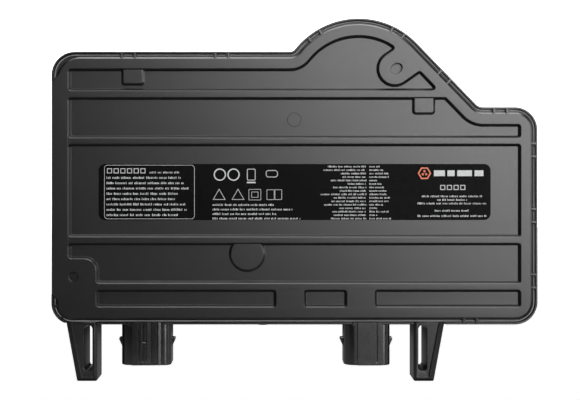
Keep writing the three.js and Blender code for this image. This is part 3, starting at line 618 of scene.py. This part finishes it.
def drill(bm, points, face, depth):
    """A blind hole with a broken edge; gives its ring at the face."""
    edge = 0.3
    profile = [(-edge, face), (-0.3 * edge, face + 0.3 * edge), (0, face + edge), (0, face + depth)]
    first, last = sweep(bm, points, profile)
    fill(bm, last)
    return first


def witness_circle(bm, floor):
    """A thin engraved circle in the second panel's floor; gives its outermost ring."""
    x, z, r = -0.1, SHOULDER - 7.4, 4.0
    groove = [(-0.16, floor), (-0.05, floor + 0.22), (0.05, floor + 0.22), (0.16, floor)]
    first, last = sweep(bm, circle(x, z, r), groove)
    fill(bm, last)
    return first


def cover_land(points):
    """A low land in a panel, with sloped sides and a chamfer, more than half way to the face."""
    bm = bmesh.new()
    front = FACE + LAND_DEPTH
    floor = FACE + PANEL_DEPTH
    profile = [
        (-0.4, floor + 0.4),
        (-0.2, floor),
        (0.0, floor - 0.05),
        (0.12, floor - 0.2),
        (0.75, front + 0.5),
        (0.85, front + 0.36),
        (1.2, front + 0.06),
        (1.35, front),
    ]
    plug(bm, points, profile)
    return finish_mesh(bm, "land")


def all_lands():
    """A land hanging from the top of each of the two top panels, and the round witness land."""
    corner, tuck = 2, 1.5  # tuck: how far a land reaches up behind its panel's edge
    return [
        cover_land(rectangle(-100.9, -87.3, TOP - 19.7, TOP - PANEL_INSET + tuck, corner)),
        cover_land(rectangle(68.7, 82.0, SHOULDER - 4.4, SECOND_TOP + tuck, corner)),
        cover_land(circle(-27.5, BOTTOM + 41.3, 10.6)),
    ]


RIB_WIDTH = 1.4
RIB_PITCH = 7.6


def rib_pairs():
    """For each pair of ribs over the groove: a point on the case's outline and the way out."""
    slope_z = HUMP_Z + 14.8
    pairs = [((x, TOP), QUARTER) for x in (-96.9, -42.4)]
    pairs += [((HALF_WIDTH, z), 0.0) for z in (BOTTOM + 101.7, BOTTOM + 63.5, BOTTOM + 25.3)]
    pairs += [
        ((slope_x(0, slope_z), slope_z), SLOPE_ANGLE),
        ((HALF_WIDTH - 21.7, SHOULDER), QUARTER),
        ((HALF_WIDTH - 39.3, BOTTOM), -QUARTER),
    ]
    return pairs


def round_rib_pairs():
    """The pairs that stand on a round stretch: its centre, its radius and the way out."""
    corner = CORNERS["bottom_left"]
    return [
        ((HUMP_X, HUMP_Z), HUMP_R, math.radians(124.5)),
        ((HUMP_X, HUMP_Z), HUMP_R, math.radians(59.9)),
        ((corner - HALF_WIDTH, BOTTOM + corner), corner, math.radians(211)),
    ]


def rib(x, z, way):
    """One rib, from the cover's face out to the rim, its front edges broken."""
    bm = bmesh.new()
    inner, outer = -COVER_INSET - COVER_BEVEL - 0.5, -RIM_WIDTH + 0.1
    half = RIB_WIDTH / 2
    outline = rounded([(-half, inner), (half, inner), (half, outer), (-half, outer)])
    top, edge = FACE + 0.3, 0.25
    section = [(0, LEDGE - 0.3), (0, top + edge), (0.08, top + 0.08), (edge, top)]
    plug(bm, outline, section)
    turn = Matrix.Rotation(QUARTER - way, 4, "Y")
    bmesh.ops.transform(bm, matrix=Matrix.Translation((x * MM, 0, z * MM)) @ turn, verts=bm.verts)
    return finish_mesh(bm, "rib")


def all_ribs():
    """Every rib of every pair, half a pitch to either side of the pair's middle."""
    ribs = []
    for side in (-1, 1):
        for (x, z), way in rib_pairs():
            shift = side * RIB_PITCH / 2
            ribs.append(rib(x + shift * math.sin(way), z - shift * math.cos(way), way))
        for (x, z), r, way in round_rib_pairs():
            swung = way + side * RIB_PITCH / 2 / (r - COVER_INSET)
            ribs.append(rib(x + r * math.cos(swung), z + r * math.sin(swung), swung))
    return ribs


def cover_outline():
    """The cover's edge, which runs out flush with the case's left side."""
    edge, step = FLUSH_EDGE, COVER_INSET
    left_side = [
        (-HALF_WIDTH + step, FLUSH_HIGH + step),
        (edge, FLUSH_HIGH),
        (edge, FLUSH_LOW),
        (-HALF_WIDTH + step, FLUSH_LOW - step),
    ]
    return case_outline(COVER_INSET, left_side, ease=2.9)


def flush_side():
    """The stretch of the cover that comes out to the case's left side, with a small edge."""
    edge, inner = FLUSH_EDGE, FLUSH_EDGE + COVER_INSET + 2 * COVER_BEVEL
    run = inner - edge
    outline = [
        (edge, FLUSH_LOW),
        (inner, FLUSH_LOW - run),
        (inner, FLUSH_HIGH + run),
        (edge, FLUSH_HIGH),
    ]
    return solid(outline, FACE, COVER_BACK, edge=0.35)


def make_cover():
    bm = bmesh.new()
    b = COVER_BEVEL
    bevel = [
        (0, COVER_BACK),
        (0, FACE + b + 0.15),
        (0.05, FACE + b - 0.05),
        (b - 0.15, FACE + 0.15),
        (b, FACE + 0.04),
        (b + 0.2, FACE),
    ]
    back, front = sweep(bm, cover_outline(), bevel)
    holes = []
    for points in [upper_panel(), middle_panel(), stepped_panel(), *lower_panels()]:
        edge, floor = sink(bm, points, FACE, PANEL_DEPTH)
        holes.append(edge)
        fill(bm, floor)
    edge, floor = sink(bm, second_panel(), FACE, PANEL_DEPTH)
    holes.append(edge)
    fill(bm, floor, witness_circle(bm, FACE + PANEL_DEPTH))
    oval = circle(HOOK_X + 0.9, HOOK_Z, OVAL_R, OVAL_STRETCH, HOOK_LEAN)
    holes.append(drill(bm, oval, FACE, OVAL_DEPTH))
    small_round = circle(-HALF_WIDTH + 13.1, BOTTOM + 27.9, ROUND_R)
    holes.append(drill(bm, small_round, FACE, ROUND_DEPTH))
    fill(bm, front, *holes)
    fill(bm, back)
    cover = finish_mesh(bm, "front_cover_shell")
    combine(cover, [*all_lands(), flush_side(), *all_ribs()], "UNION")
    smooth(cover, 40)
    return dress(cover, "casing", "front_cover")


# ---- The rear housing and the seal ----


def flush_tool():
    """What the cover's flush left-hand edge takes out of the rim and the seal."""
    past, run, clear = 1.3, 5.7, 0.15
    outer, inner = -HALF_WIDTH - past, -HALF_WIDTH + run
    points = [
        (outer, FLUSH_LOW - clear + past),
        (inner, FLUSH_LOW - clear - run),
        (inner, FLUSH_HIGH + clear + run),
        (outer, FLUSH_HIGH + clear - past),
    ]
    return solid(points, RIM_FRONT - 1, LEDGE)


def back_panels():
    """Outlines of the shallow panels in the back wall: two columns, three panels in the left one
    and two in the right.
    """
    middle, gap, side, r = -10, 3, PANEL_SIDE, 4
    rows = [(BOTTOM + 10.7, BOTTOM + 48.7), (BOTTOM + 54.7, BOTTOM + 98.7)]
    panels = []
    for low, high in rows:
        panels.append(rectangle(-side, middle - gap, low, high, r))
        panels.append(rectangle(middle + gap, side, low, high, r))
    panels.append(rectangle(-side, middle - gap, BOTTOM + 104.7, TOP - PANEL_INSET, r))
    return panels


def insert_places():
    """The middle of each threaded insert in the back, as (x, z)."""
    places = []
    for node in sorted(frame["nodes"]):
        if node.startswith("bracket_insert"):
            low, high = box_mm(node)
            middle = (low + high) / 2
            places.append((middle.x, middle.z))
    return places


def make_housing():
    bm = bmesh.new()
    r = 2.2  # of the rounding between the sides and the back
    turns = [QUARTER * i / 4 for i in range(5)]
    outside = [
        (SEAL_INSET - 0.02, GROOVE_FLOOR),
        (RIM_WIDTH, GROOVE_FLOOR),
        (RIM_WIDTH, RIM_FRONT + 0.2),
        (RIM_WIDTH - 0.06, RIM_FRONT + 0.06),
        (RIM_WIDTH - 0.2, RIM_FRONT),
        (0.28, RIM_FRONT),
        (0.08, RIM_FRONT + 0.1),
        (0, RIM_FRONT + 0.34),
        *[(r - r * math.cos(a), BACK - r + r * math.sin(a)) for a in turns],
    ]
    outline = case_outline()
    groove, back = sweep(bm, outline, outside)
    panels = []
    for points in back_panels():
        edge, floor = sink(bm, points, BACK, 1.0, towards=-1)
        panels.append(edge)
        fill(bm, floor)
    fill(bm, back, *panels)
    lip = [
        (SEAL_INSET - 0.02, GROOVE_FLOOR),
        (SEAL_INSET, LEDGE),
        (WALL, LEDGE),
        (WALL, BACK - BACK_WALL),
    ]
    ledge, inside = sweep(bm, outline, lip)
    fill(bm, inside)
    housing = finish_mesh(bm, "rear_housing_shell")
    pads = [solid(circle(x, z, PAD_R), BACK - 2, BACK) for x, z in insert_places()]
    combine(housing, pads, "UNION")
    hole_floor = BACK - INSERT_HOLE_DEPTH
    tools = [flush_tool()]
    tools += [solid(circle(x, z, INSERT_HOLE_R), hole_floor, BACK + 1) for x, z in insert_places()]
    combine(housing, tools + connector_notches() + foot_notches(), "DIFFERENCE")
    smooth(housing, 40)
    return dress(housing, "casing", "rear_housing")


def make_seal():
    bm = bmesh.new()
    top, near, far = LEDGE - SEAL_HIGH, SEAL_INSET + 0.1, SEAL_INSET + 0.6
    section = [
        (near, LEDGE),
        (near, top + 0.25),
        (near + 0.07, top + 0.06),
        (near + 0.18, top),
        (far - 0.18, top),
        (far - 0.07, top + 0.06),
        (far, top + 0.25),
        (far, LEDGE),
    ]
    first, last = sweep(bm, case_outline(), section)
    skin(bm, last, first)
    seal = finish_mesh(bm, "perimeter_seal_bead")
    combine(seal, [flush_tool()], "DIFFERENCE")
    smooth(seal, 40)
    return dress(seal, "seal", "perimeter_seal")


# ---- The feet ----

FOOT_MIRROR = (foot_low.x + foot_right_high.x) / 2
FOOT_TOP = BOTTOM + 1.7  # the feet's faces run up over the rim
FOOT_SLANT = 6.4  # how far the outer side leans in on its way down
FOOT_CORNER = 1.1
WEB_DEPTH = 1.3
SLOT_FROM_INNER, SLOT_WIDTH = 5.45, 5.0
SLOT_DRAFT = 0.9  # how much each side of the slot closes in towards the back


def foot_outlines():
    """The left foot's leg, its sunken web and its slot, in the X-Z plane."""
    inner, outer, low = foot_high.x, foot_low.x, foot_low.z
    border, side, sill = 3.3, 1.7, 2.4  # from the leg's edges in to the web
    leg = rounded([
        (outer, FOOT_TOP),
        (outer + FOOT_SLANT, low, FOOT_CORNER),
        (inner, low, FOOT_CORNER),
        (inner, FOOT_TOP),
    ])
    web = rounded([
        (outer + border, FOOT_TOP - 0.9),
        (outer + FOOT_SLANT + border - 0.4, low + sill, 0.8),
        (inner - side, low + sill, 0.8),
        (inner - side, FOOT_TOP - 0.9),
    ])
    middle, half = inner - SLOT_FROM_INNER, SLOT_WIDTH / 2
    slot = rectangle(middle - half, middle + half, low + 5.8, BOTTOM - 0.7, half - 0.05)
    return leg, web, slot


def mirrored(points):
    """The left foot's outline turned into the right foot's."""
    return [(2 * FOOT_MIRROR - x, z) for x, z in points][::-1]


def foot_notches():
    """The notch in the bottom rim in front of each foot."""
    clear = 0.35
    left, right = foot_low.x - clear, foot_high.x + clear
    outline = rectangle(left, right, BOTTOM - 3, FOOT_TOP + clear, 0.4)
    return [solid(points, RIM_FRONT - 1, LEDGE) for points in (outline, mirrored(outline))]


def make_foot(name, node, mirror):
    """A foot: borders that slope up to a crest, a sunken web in front, and a slot through it."""
    bm = bmesh.new()
    outlines = foot_outlines()
    if mirror:
        outlines = [mirrored(points) for points in outlines]
    leg, web, slot = outlines
    front, back = foot_low.y, foot_high.y
    sides = [(1.0, back), (0.3, back - 0.3), (0, back - 1.0), (0, front + 1.15)]
    back_face, edge = sweep(bm, leg, [*sides, (0.12, front + 0.95)])
    wall = [(-0.5, front + 0.1), (-0.25, front), (-0.1, front + 0.06), (0, front + 0.3)]
    wall += [(0.12, front + WEB_DEPTH - 0.2), (0.22, front + WEB_DEPTH - 0.05)]
    crest, web_edge = sweep(bm, web, [*wall, (0.45, front + WEB_DEPTH)])
    skin(bm, edge, crest)
    slot_edge = [(-0.3, 0.0), (-0.1, 0.1), (0, 0.3)]
    through = [(inset, front + WEB_DEPTH + deep) for inset, deep in slot_edge]
    through += [(SLOT_DRAFT + inset, back - deep) for inset, deep in reversed(slot_edge)]
    slot_front, slot_back = sweep(bm, slot, through)
    fill(bm, web_edge, slot_front)
    fill(bm, back_face, slot_back)
    foot = finish_mesh(bm, name, 40)
    return dress(foot, "casing", node)


# ---- The connectors ----

# Bars that stand on a connector's front, from its middle: left, right, set back, slant.
DC_BARS = [
    (-8.1, -4.5, 0.0, 0.0),
    (-3.9, -2.2, 0.0, 0.0),
    (-1.4, 0.0, 0.3, 0.0),
    (0.4, 2.8, 0.0, 0.2),
    (3.2, 6.0, 0.3, 0.0),
    (7.2, 8.8, 0.1, 0.55),
]
AC_BARS = [(-5.7, 5.1, 0.0, 0.0), (6.0, 8.2, 0.0, 0.0)]
# How far the notch in the rim reaches to either side of each connector's middle.
DC_NOTCH = (-11.3, 10.7)
AC_NOTCH = (-8.8, 9.4)
BARB_REACH = 2.0
BAR_DEPTH = 1.1
NOTCH_TOP = 1.4  # above the bottom of the case
BARB_TOP = 15.5  # above the connector's mouth
SOCKET_DEPTH = 19.6


def connector_place(node):
    """A connector's middle, half width, front, back and bottom."""
    low, high = box_mm(node)
    return {
        "x": (low.x + high.x) / 2,
        "half": (high.x - low.x) / 2 - BARB_REACH,
        "front": low.y + 0.4,
        "back": high.y,
        "bottom": low.z,
    }


def connector_notches():
    """The notch in the bottom rim in front of each connector, with rounded ends."""
    notches = []
    for node, span in (("dc_connector_shell", DC_NOTCH), ("ac_connector_shell", AC_NOTCH)):
        x = connector_place(node)["x"]
        top = BOTTOM + NOTCH_TOP + 0.3
        outline = rectangle(x + span[0], x + span[1], BOTTOM - 3, top, 0.6)
        notches.append(solid(outline, RIM_FRONT - 1, LEDGE))
    return notches


def nose_plan(place, left_corner, right_corner):
    """The plan of a connector: flat in front, rounded off to both sides."""
    x, half, back = place["x"], place["half"], place["back"]
    front = place["front"] + BAR_DEPTH
    lean = 1.6  # how far the left part of the front leans back
    return rounded([
        (x - half, back, 4),
        (x - half, front + lean, left_corner),
        (x - half * 0.56, front, 3),
        (x + half, front, right_corner),
        (x + half, back, 4),
    ])


def bar(place, span, low, high):
    """An upright bar on a connector's front; its face may slant back towards the right."""
    left, right, back, slant = span
    x, front = place["x"], place["front"] + back
    root = place["front"] + BAR_DEPTH + 1.5
    edge = 0.14
    plan = rounded([
        (x + left, root),
        (x + left, front, edge + 0.02),
        (x + right, front + slant, edge + 0.02),
        (x + right, root),
    ])
    bm = bmesh.new()
    profile = [(edge, low), (0, low + edge), (0, high - edge), (edge, high)]
    plug(bm, plan, profile, flat=True)
    return finish_mesh(bm, "bar")


def barb(place, side):
    """A latch barb on a connector's side: flat on top and sloping back below."""
    x, top = place["x"] + side * place["half"], place["bottom"] + BARB_TOP
    tip = x + side * BARB_REACH
    outline = rounded([
        (x - side * 1.6, top - 6.9),
        (x, top - 5.6, 0.5),
        (tip, top - 1.1, 0.45),
        (tip - side * 0.3, top, 0.3),
        (x - side * 1.6, top),
    ])
    middle = place["front"] + 11.1
    return solid(outline, middle - 2.6, middle + 2.6, edge=0.25)


def make_connector(name, node, bars, notch, corners, extras):
    """A plug-in connector: a hollow rounded nose with bars on its front and a barb each side."""
    place = connector_place(node)
    x, half, bottom = place["x"], place["half"], place["bottom"]
    bm = bmesh.new()
    edge = 0.7
    outside = [(edge, bottom), (0.3 * edge, bottom + 0.3 * edge), (0, bottom + edge)]
    mouth, crown = sweep(bm, nose_plan(place, *corners), [*outside, (0, BOTTOM - 0.02)], flat=True)
    fill(bm, crown)
    wall = 2.2
    front = place["front"] + BAR_DEPTH + wall
    socket = rectangle(x - half + wall, x + half - wall, front, place["back"] - wall, 2.5)
    hollow = [(-0.35, bottom), (-0.1, bottom + 0.1), (0, bottom + 0.35), (0, bottom + SOCKET_DEPTH)]
    inner, ceiling = sweep(bm, socket, hollow, flat=True)
    fill(bm, mouth, inner)
    fill(bm, ceiling)
    shell = finish_mesh(bm, name)
    top = BOTTOM + NOTCH_TOP
    riser = (notch[0] + 0.3, notch[1] - 0.3, BAR_DEPTH, 0.0)
    parts = [bar(place, span, bottom + 0.1, top) for span in bars]
    parts += [bar(place, riser, BOTTOM - 1, top), barb(place, -1), barb(place, 1)]
    parts += [bar(place, span, bottom + low, bottom + high) for span, low, high in extras]
    combine(shell, parts, "UNION")
    smooth(shell, 40)
    return dress(shell, "connector", node)


def make_dc_connector():
    cross_bar = ((-2.3, -0.1, 0.15, 0.0), 12.9, 13.5)
    foot_bar = ((-4.6, 3.0, 0.45, 0.0), 0.1, 1.9)
    make_connector(
        "dc_connector_body", "dc_connector_shell", DC_BARS, DC_NOTCH, (5.2, 4.4),
        [cross_bar, foot_bar],
    )


def make_ac_connector():
    foot_bar = ((4.9, 6.2, 0.0, 0.0), 0.1, 1.8)
    make_connector(
        "ac_connector_body", "ac_connector_shell", AC_BARS, AC_NOTCH, (6.5, 4.2), [foot_bar],
    )


# ---- The status lens ----


def make_lens():
    """The status lens: a low dome on a short collar, with its stem up in the case."""
    bm = bmesh.new()
    middle = (lens_low + lens_high) / 2
    r = (lens_high.x - lens_low.x) / 2
    tip, brim, collar, step, stem = lens_low.z, BOTTOM + 0.3, 0.6, 2, 4
    angles = [math.radians(degrees) for degrees in (4, 20, 36, 52, 68, 80, 90)]
    high = brim - collar - tip
    dome = [(r * (1 - math.sin(a)), tip + high * (1 - math.cos(a))) for a in angles]
    profile = dome + [(0, brim), (step, brim), (step, brim + stem)]
    plug(bm, circle(middle.x, middle.y, r), profile, flat=True)
    return dress(finish_mesh(bm, "status_lens_dome", 50), "lens", "status_lens")


# ---- The label ----

LABEL_TOP = label_high.z
LABEL_LEFT = label_low.x
LABEL_CORNER = 3.8
LABEL_FRONT = label_low.y
INK = 0.03  # how far the print stands off the film
MARK_PITCH, MARK_HIGH = 0.62, 0.92  # of the marks in a greeked line, before they are scaled


def make_label_film():
    outline = rectangle(label_low.x, label_high.x, label_low.z, label_high.z, LABEL_CORNER)
    film = solid(outline, label_low.y, label_high.y, "rating_label_film", edge=0.08)
    smooth(film, 40)
    return dress(film, "label", "rating_label")


def ink_bar(bm, left, right, low, high):
    block(bm, (left, LABEL_FRONT - INK, low), (right, LABEL_FRONT + 0.05, high))


def greek_line(bm, chance, left, right, middle, scale):
    """A line of greeked words: groups of upright dashes of two heights, and no letters."""
    pitch = MARK_PITCH * scale
    low = middle - MARK_HIGH * scale / 2
    x = left
    while x < right - pitch:
        for _ in range(chance.randint(3, 8)):
            if x > right - pitch:
                break
            high = low + MARK_HIGH * scale * chance.choice((0.75, 0.75, 1))
            ink_bar(bm, x, x + pitch * chance.uniform(0.35, 0.7), low, high)
            x += pitch
        x += 0.9 * pitch


def ink_frame(bm, points, width):
    """An outlined shape printed on the label."""
    front, back = LABEL_FRONT - INK, LABEL_FRONT + 0.05
    outer_front, outer_back = sweep(bm, points, [(0, front), (0, back)])
    inner_front, inner_back = sweep(bm, points, [(width, front), (width, back)])
    skin(bm, outer_front, inner_front)
    skin(bm, outer_back, inner_back)


def polygon(x, z, r, sides, turn=0.0):
    angles = [turn + 2 * math.pi * i / sides for i in range(sides)]
    return [(x + r * math.cos(a), z + r * math.sin(a)) for a in angles]


def place_holders(bm, left, middle, count, line):
    """A row of empty square frames, in the place of large letters."""
    side, pitch = 2.9, 3.9
    for i in range(count):
        x = left + pitch * i
        ink_frame(bm, rectangle(x, x + side, middle - side / 2, middle + side / 2, 0), line)


def notice_block(bm, chance):
    """A framed block of greeked lines at the label's left-hand end."""
    left, right = LABEL_LEFT + 3.3, LABEL_LEFT + 56
    margin, rows, pitch = 1.4, 8, 3.1
    ink_frame(bm, rectangle(left, right, LABEL_TOP - 32.1, LABEL_TOP - 0.6, 2), 0.22)
    place_holders(bm, left + 1.6, LABEL_TOP - 4.0, 6, 0.4)
    greek_line(bm, chance, left + 26.5, right - 8, LABEL_TOP - 4.9, 1.3)
    for i in range(rows):
        short = chance.uniform(1.5, 12)
        greek_line(bm, chance, left + margin, right - short, LABEL_TOP - 8.0 - pitch * i, 1.4)


def symbol_block(bm, chance):
    """Two rows of plain outlined shapes, over four short greeked lines."""
    left = LABEL_LEFT + 66.5
    upper, lower = LABEL_TOP - 6.2, LABEL_TOP - 17.9
    bold, medium, fine = 0.7, 0.4, 0.25  # line widths
    for i in range(2):
        ink_frame(bm, circle(left + 4.2 + 8 * i, upper, 3.6), bold)
    ink_frame(bm, rectangle(left + 20, left + 25, upper - 3.4, upper + 3.4, 0.8), medium)
    ink_bar(bm, left + 20, left + 25, upper - 5, upper - 4.2)
    ink_frame(bm, rectangle(left + 31, left + 38, upper - 1.6, upper + 2.6, 1.6), medium)
    for i in range(2):
        ink_frame(bm, polygon(left + 3.8 + 11 * i, lower - 0.8, 4.3, 3, QUARTER), 0.3)
    for start, end, half, r in (
        (21, 28.2, 3.2, 0.3), (22.6, 26.6, 1.7, 0.2), (31.5, 36, 3, 0.3), (36.2, 40.4, 3, 0.3),
    ):
        box = rectangle(left + start, left + end, lower - half, lower + half, r)
        ink_frame(bm, box, fine)
    for i, width in enumerate((37, 47, 38, 52)):
        greek_line(bm, chance, left, left + width, LABEL_TOP - 23.8 - 2.65 * i, 1.3)


def table_block(bm, chance):
    """A two-column table of greeked lines about one upright."""
    middle = LABEL_LEFT + 157.3
    rows, pitch, scale = 16, 2.02, 1.1
    for i in range(rows):
        z = LABEL_TOP - 1.5 - pitch * i
        greek_line(bm, chance, middle - 0.8 - chance.uniform(11, 27), middle - 0.8, z, scale)
        greek_line(bm, chance, middle + 0.6, middle + chance.uniform(4, 14), z, scale)


def title_block(bm, chance):
    """Plain bars in the place of a title, over centred greeked lines."""
    x, title = LABEL_LEFT + 195.5, LABEL_TOP - 5.4
    half, gap = 1.7, 1.5
    for width in (6.4, 4.2, 8.6, 5.2):
        ink_bar(bm, x, x + width, title - half, title + half)
        x += width + gap
    middle = LABEL_LEFT + 206.5
    place_holders(bm, middle - 7.3, LABEL_TOP - 13.7, 4, 0.45)
    for drop, width in ((18.8, 36), (20.9, 18), (23.0, 41), (27.2, 21), (30.3, 41)):
        greek_line(bm, chance, middle - width / 2, middle + width / 2, LABEL_TOP - drop, 1.2)


def make_label_print():
    chance = random.Random(7)
    bm = bmesh.new()
    notice_block(bm, chance)
    symbol_block(bm, chance)
    table_block(bm, chance)
    title_block(bm, chance)
    print_mesh = finish_mesh(bm, "rating_label_print", 20)
    return dress(print_mesh, "label", finish="ink")


def make_label_accent():
    """The coloured accent: three small squares in a six-sided frame, generic in shape."""
    bm = bmesh.new()
    x, z = LABEL_LEFT + 190.0, LABEL_TOP - 5.4
    ink_frame(bm, polygon(x, z, 3.9, 6, 0), 0.75)
    for i in range(3):
        turn = 2 * math.pi * i / 3 + QUARTER
        spot = polygon(x + 1.15 * math.cos(turn), z + 1.15 * math.sin(turn), 0.85, 4, turn)
        ink_frame(bm, spot, 0.42)
    return dress(finish_mesh(bm, "rating_label_accent", 20), "label", finish="accent")


# ---- Nodes kept from the frame ----


def dress_frame():
    """Gives every CAD node that is shown as it is the finish of its own slot."""
    for entry in frame["record"]["subparts"]:
        node = frame["nodes"][entry["node"]]
        node.data.materials.clear()
        node.data.materials.append(MATERIALS[entry["material_slot"]])


# ---- Stage, light and camera ----

PICTURE_WIDTH = 580
SCALE = 0.5827 * MM  # metres of the object's front per step across the picture
DISTANCE = 0.74


def make_stage():
    """A white round floor that curves up into a backdrop all round."""
    bm = bmesh.new()
    radius, curve, high = 2.0, 0.5, 2.6
    turns = [QUARTER * i / 12 for i in range(13)]
    section = [(radius + curve * math.sin(a), curve - curve * math.cos(a)) for a in turns]
    section.append((radius + curve, high))
    rings = []
    for out, up in section:
        rings.append([bm.verts.new((x, y, up)) for x, y in polygon(0, 0, out, 96)])
    bm.faces.new(rings[0])
    for lower, upper in zip(rings, rings[1:]):
        skin(bm, lower, upper)
    mesh = bpy.data.meshes.new("studio_floor")
    bm.to_mesh(mesh)
    bm.free()
    floor = bpy.data.objects.new("studio_floor", mesh)
    floor.data.polygons.foreach_set("use_smooth", [True] * len(mesh.polygons))
    bpy.context.scene.collection.objects.link(floor)
    n = Nodes("studio_white")
    n.colours(n.between(n.noise(3, 2), 0, 1), (0.8, 0.8, 0.8), (0.83, 0.83, 0.83))
    n.set(Roughness=0.9, Emission_Color=(1, 1, 1, 1), Emission_Strength=1.0)
    floor.data.materials.append(n.material)
    floor.visible_glossy = False  # a white floor would wash out the satin face


def area_light(name, place, aim, size, power, roll=0.0):
    """A rectangular soft light that the camera doesn't see."""
    lamp = bpy.data.lights.new(name, "AREA")
    lamp.shape = "RECTANGLE"
    lamp.size, lamp.size_y = size
    lamp.energy = power
    holder = bpy.data.objects.new(name, lamp)
    turn = (Vector(aim) - Vector(place)).to_track_quat("-Z", "Y").to_matrix()
    holder.location = place
    holder.rotation_euler = (turn @ Matrix.Rotation(roll, 3, "Z")).to_euler()
    holder.visible_camera = False
    bpy.context.scene.collection.objects.link(holder)


def make_lights():
    """One large softbox at the front, and soft lights above, beside and behind.

    The softbox stands on its corner, about 7 degrees up and to the right of straight on, so the
    satin face fades from dark at the lower left to light at the upper right.
    """
    centre = (0.0, 0.0, 0.125)
    side, away, edge = 0.8, 1.0, math.radians(7)
    along = (away * math.tan(edge) / math.sqrt(2) + side / 2) / math.sqrt(2)
    nudge = 0.05  # to the right and down
    right, level = along + nudge, centre[2] + (along - nudge)
    place = (right, -away, level)
    straight_back = (right, 0.0, level)
    area_light("key_softbox", place, straight_back, (side, side), 13.8, math.radians(45))
    area_light("upper_fill", (-0.3, -away, 0.55), (-0.3, 0.0, 0.55), (0.5, 0.3), 0.3)
    area_light("top_softbox", (0.1, 0.0, 1.0), centre, (1.2, 0.9), 20)
    area_light("side_softbox", (1.0, -0.15, 0.3), centre, (0.6, 0.6), 4)
    area_light("back_softbox", (-0.5, 1.0, 0.95), centre, (0.9, 0.7), 9)
    area_light("backdrop_wash", (0.0, 0.35, 1.6), (0, 1.4, 0.3), (2.0, 0.5), 25)
    area_light("floor_bounce", (0.0, 0.05, 0.001), (0.0, 0.05, 1.0), (0.5, 0.3), 0.12)
    world = bpy.data.worlds.new("studio")
    world.use_nodes = True
    background = world.node_tree.nodes["Background"]
    background.inputs["Color"].default_value = (1, 1, 1, 1)
    background.inputs["Strength"].default_value = 0.008
    bpy.context.scene.world = world


def make_camera():
    """Level, straight on, a little left of and above the middle, as the photograph is."""
    eye_x, eye_z = -16.1 * MM, 124.6 * MM
    view_x, view_z = -2.6 * MM, 105.9 * MM  # what the middle of the picture shows
    camera = bpy.data.cameras.new("camera")
    width = PICTURE_WIDTH * SCALE
    camera.sensor_width = 36
    camera.lens = camera.sensor_width * DISTANCE / width
    camera.shift_x = (view_x - eye_x) / width
    camera.shift_y = (view_z - eye_z) / width
    camera.clip_start = 0.01
    holder = bpy.data.objects.new("camera", camera)
    holder.location = (eye_x, RIM_FRONT * MM - DISTANCE, eye_z)
    holder.rotation_euler = (QUARTER, 0, 0)
    bpy.context.scene.collection.objects.link(holder)
    bpy.context.scene.camera = holder


bpy.context.scene.view_settings.view_transform = "Standard"
make_camera()
dress_frame()
make_cover()
make_housing()
make_seal()
make_foot("foot_left_leg", "foot_left", mirror=False)
make_foot("foot_right_leg", "foot_right", mirror=True)
make_dc_connector()
make_ac_connector()
make_lens()
make_label_film()
make_label_print()
make_label_accent()
make_stage()
make_lights()
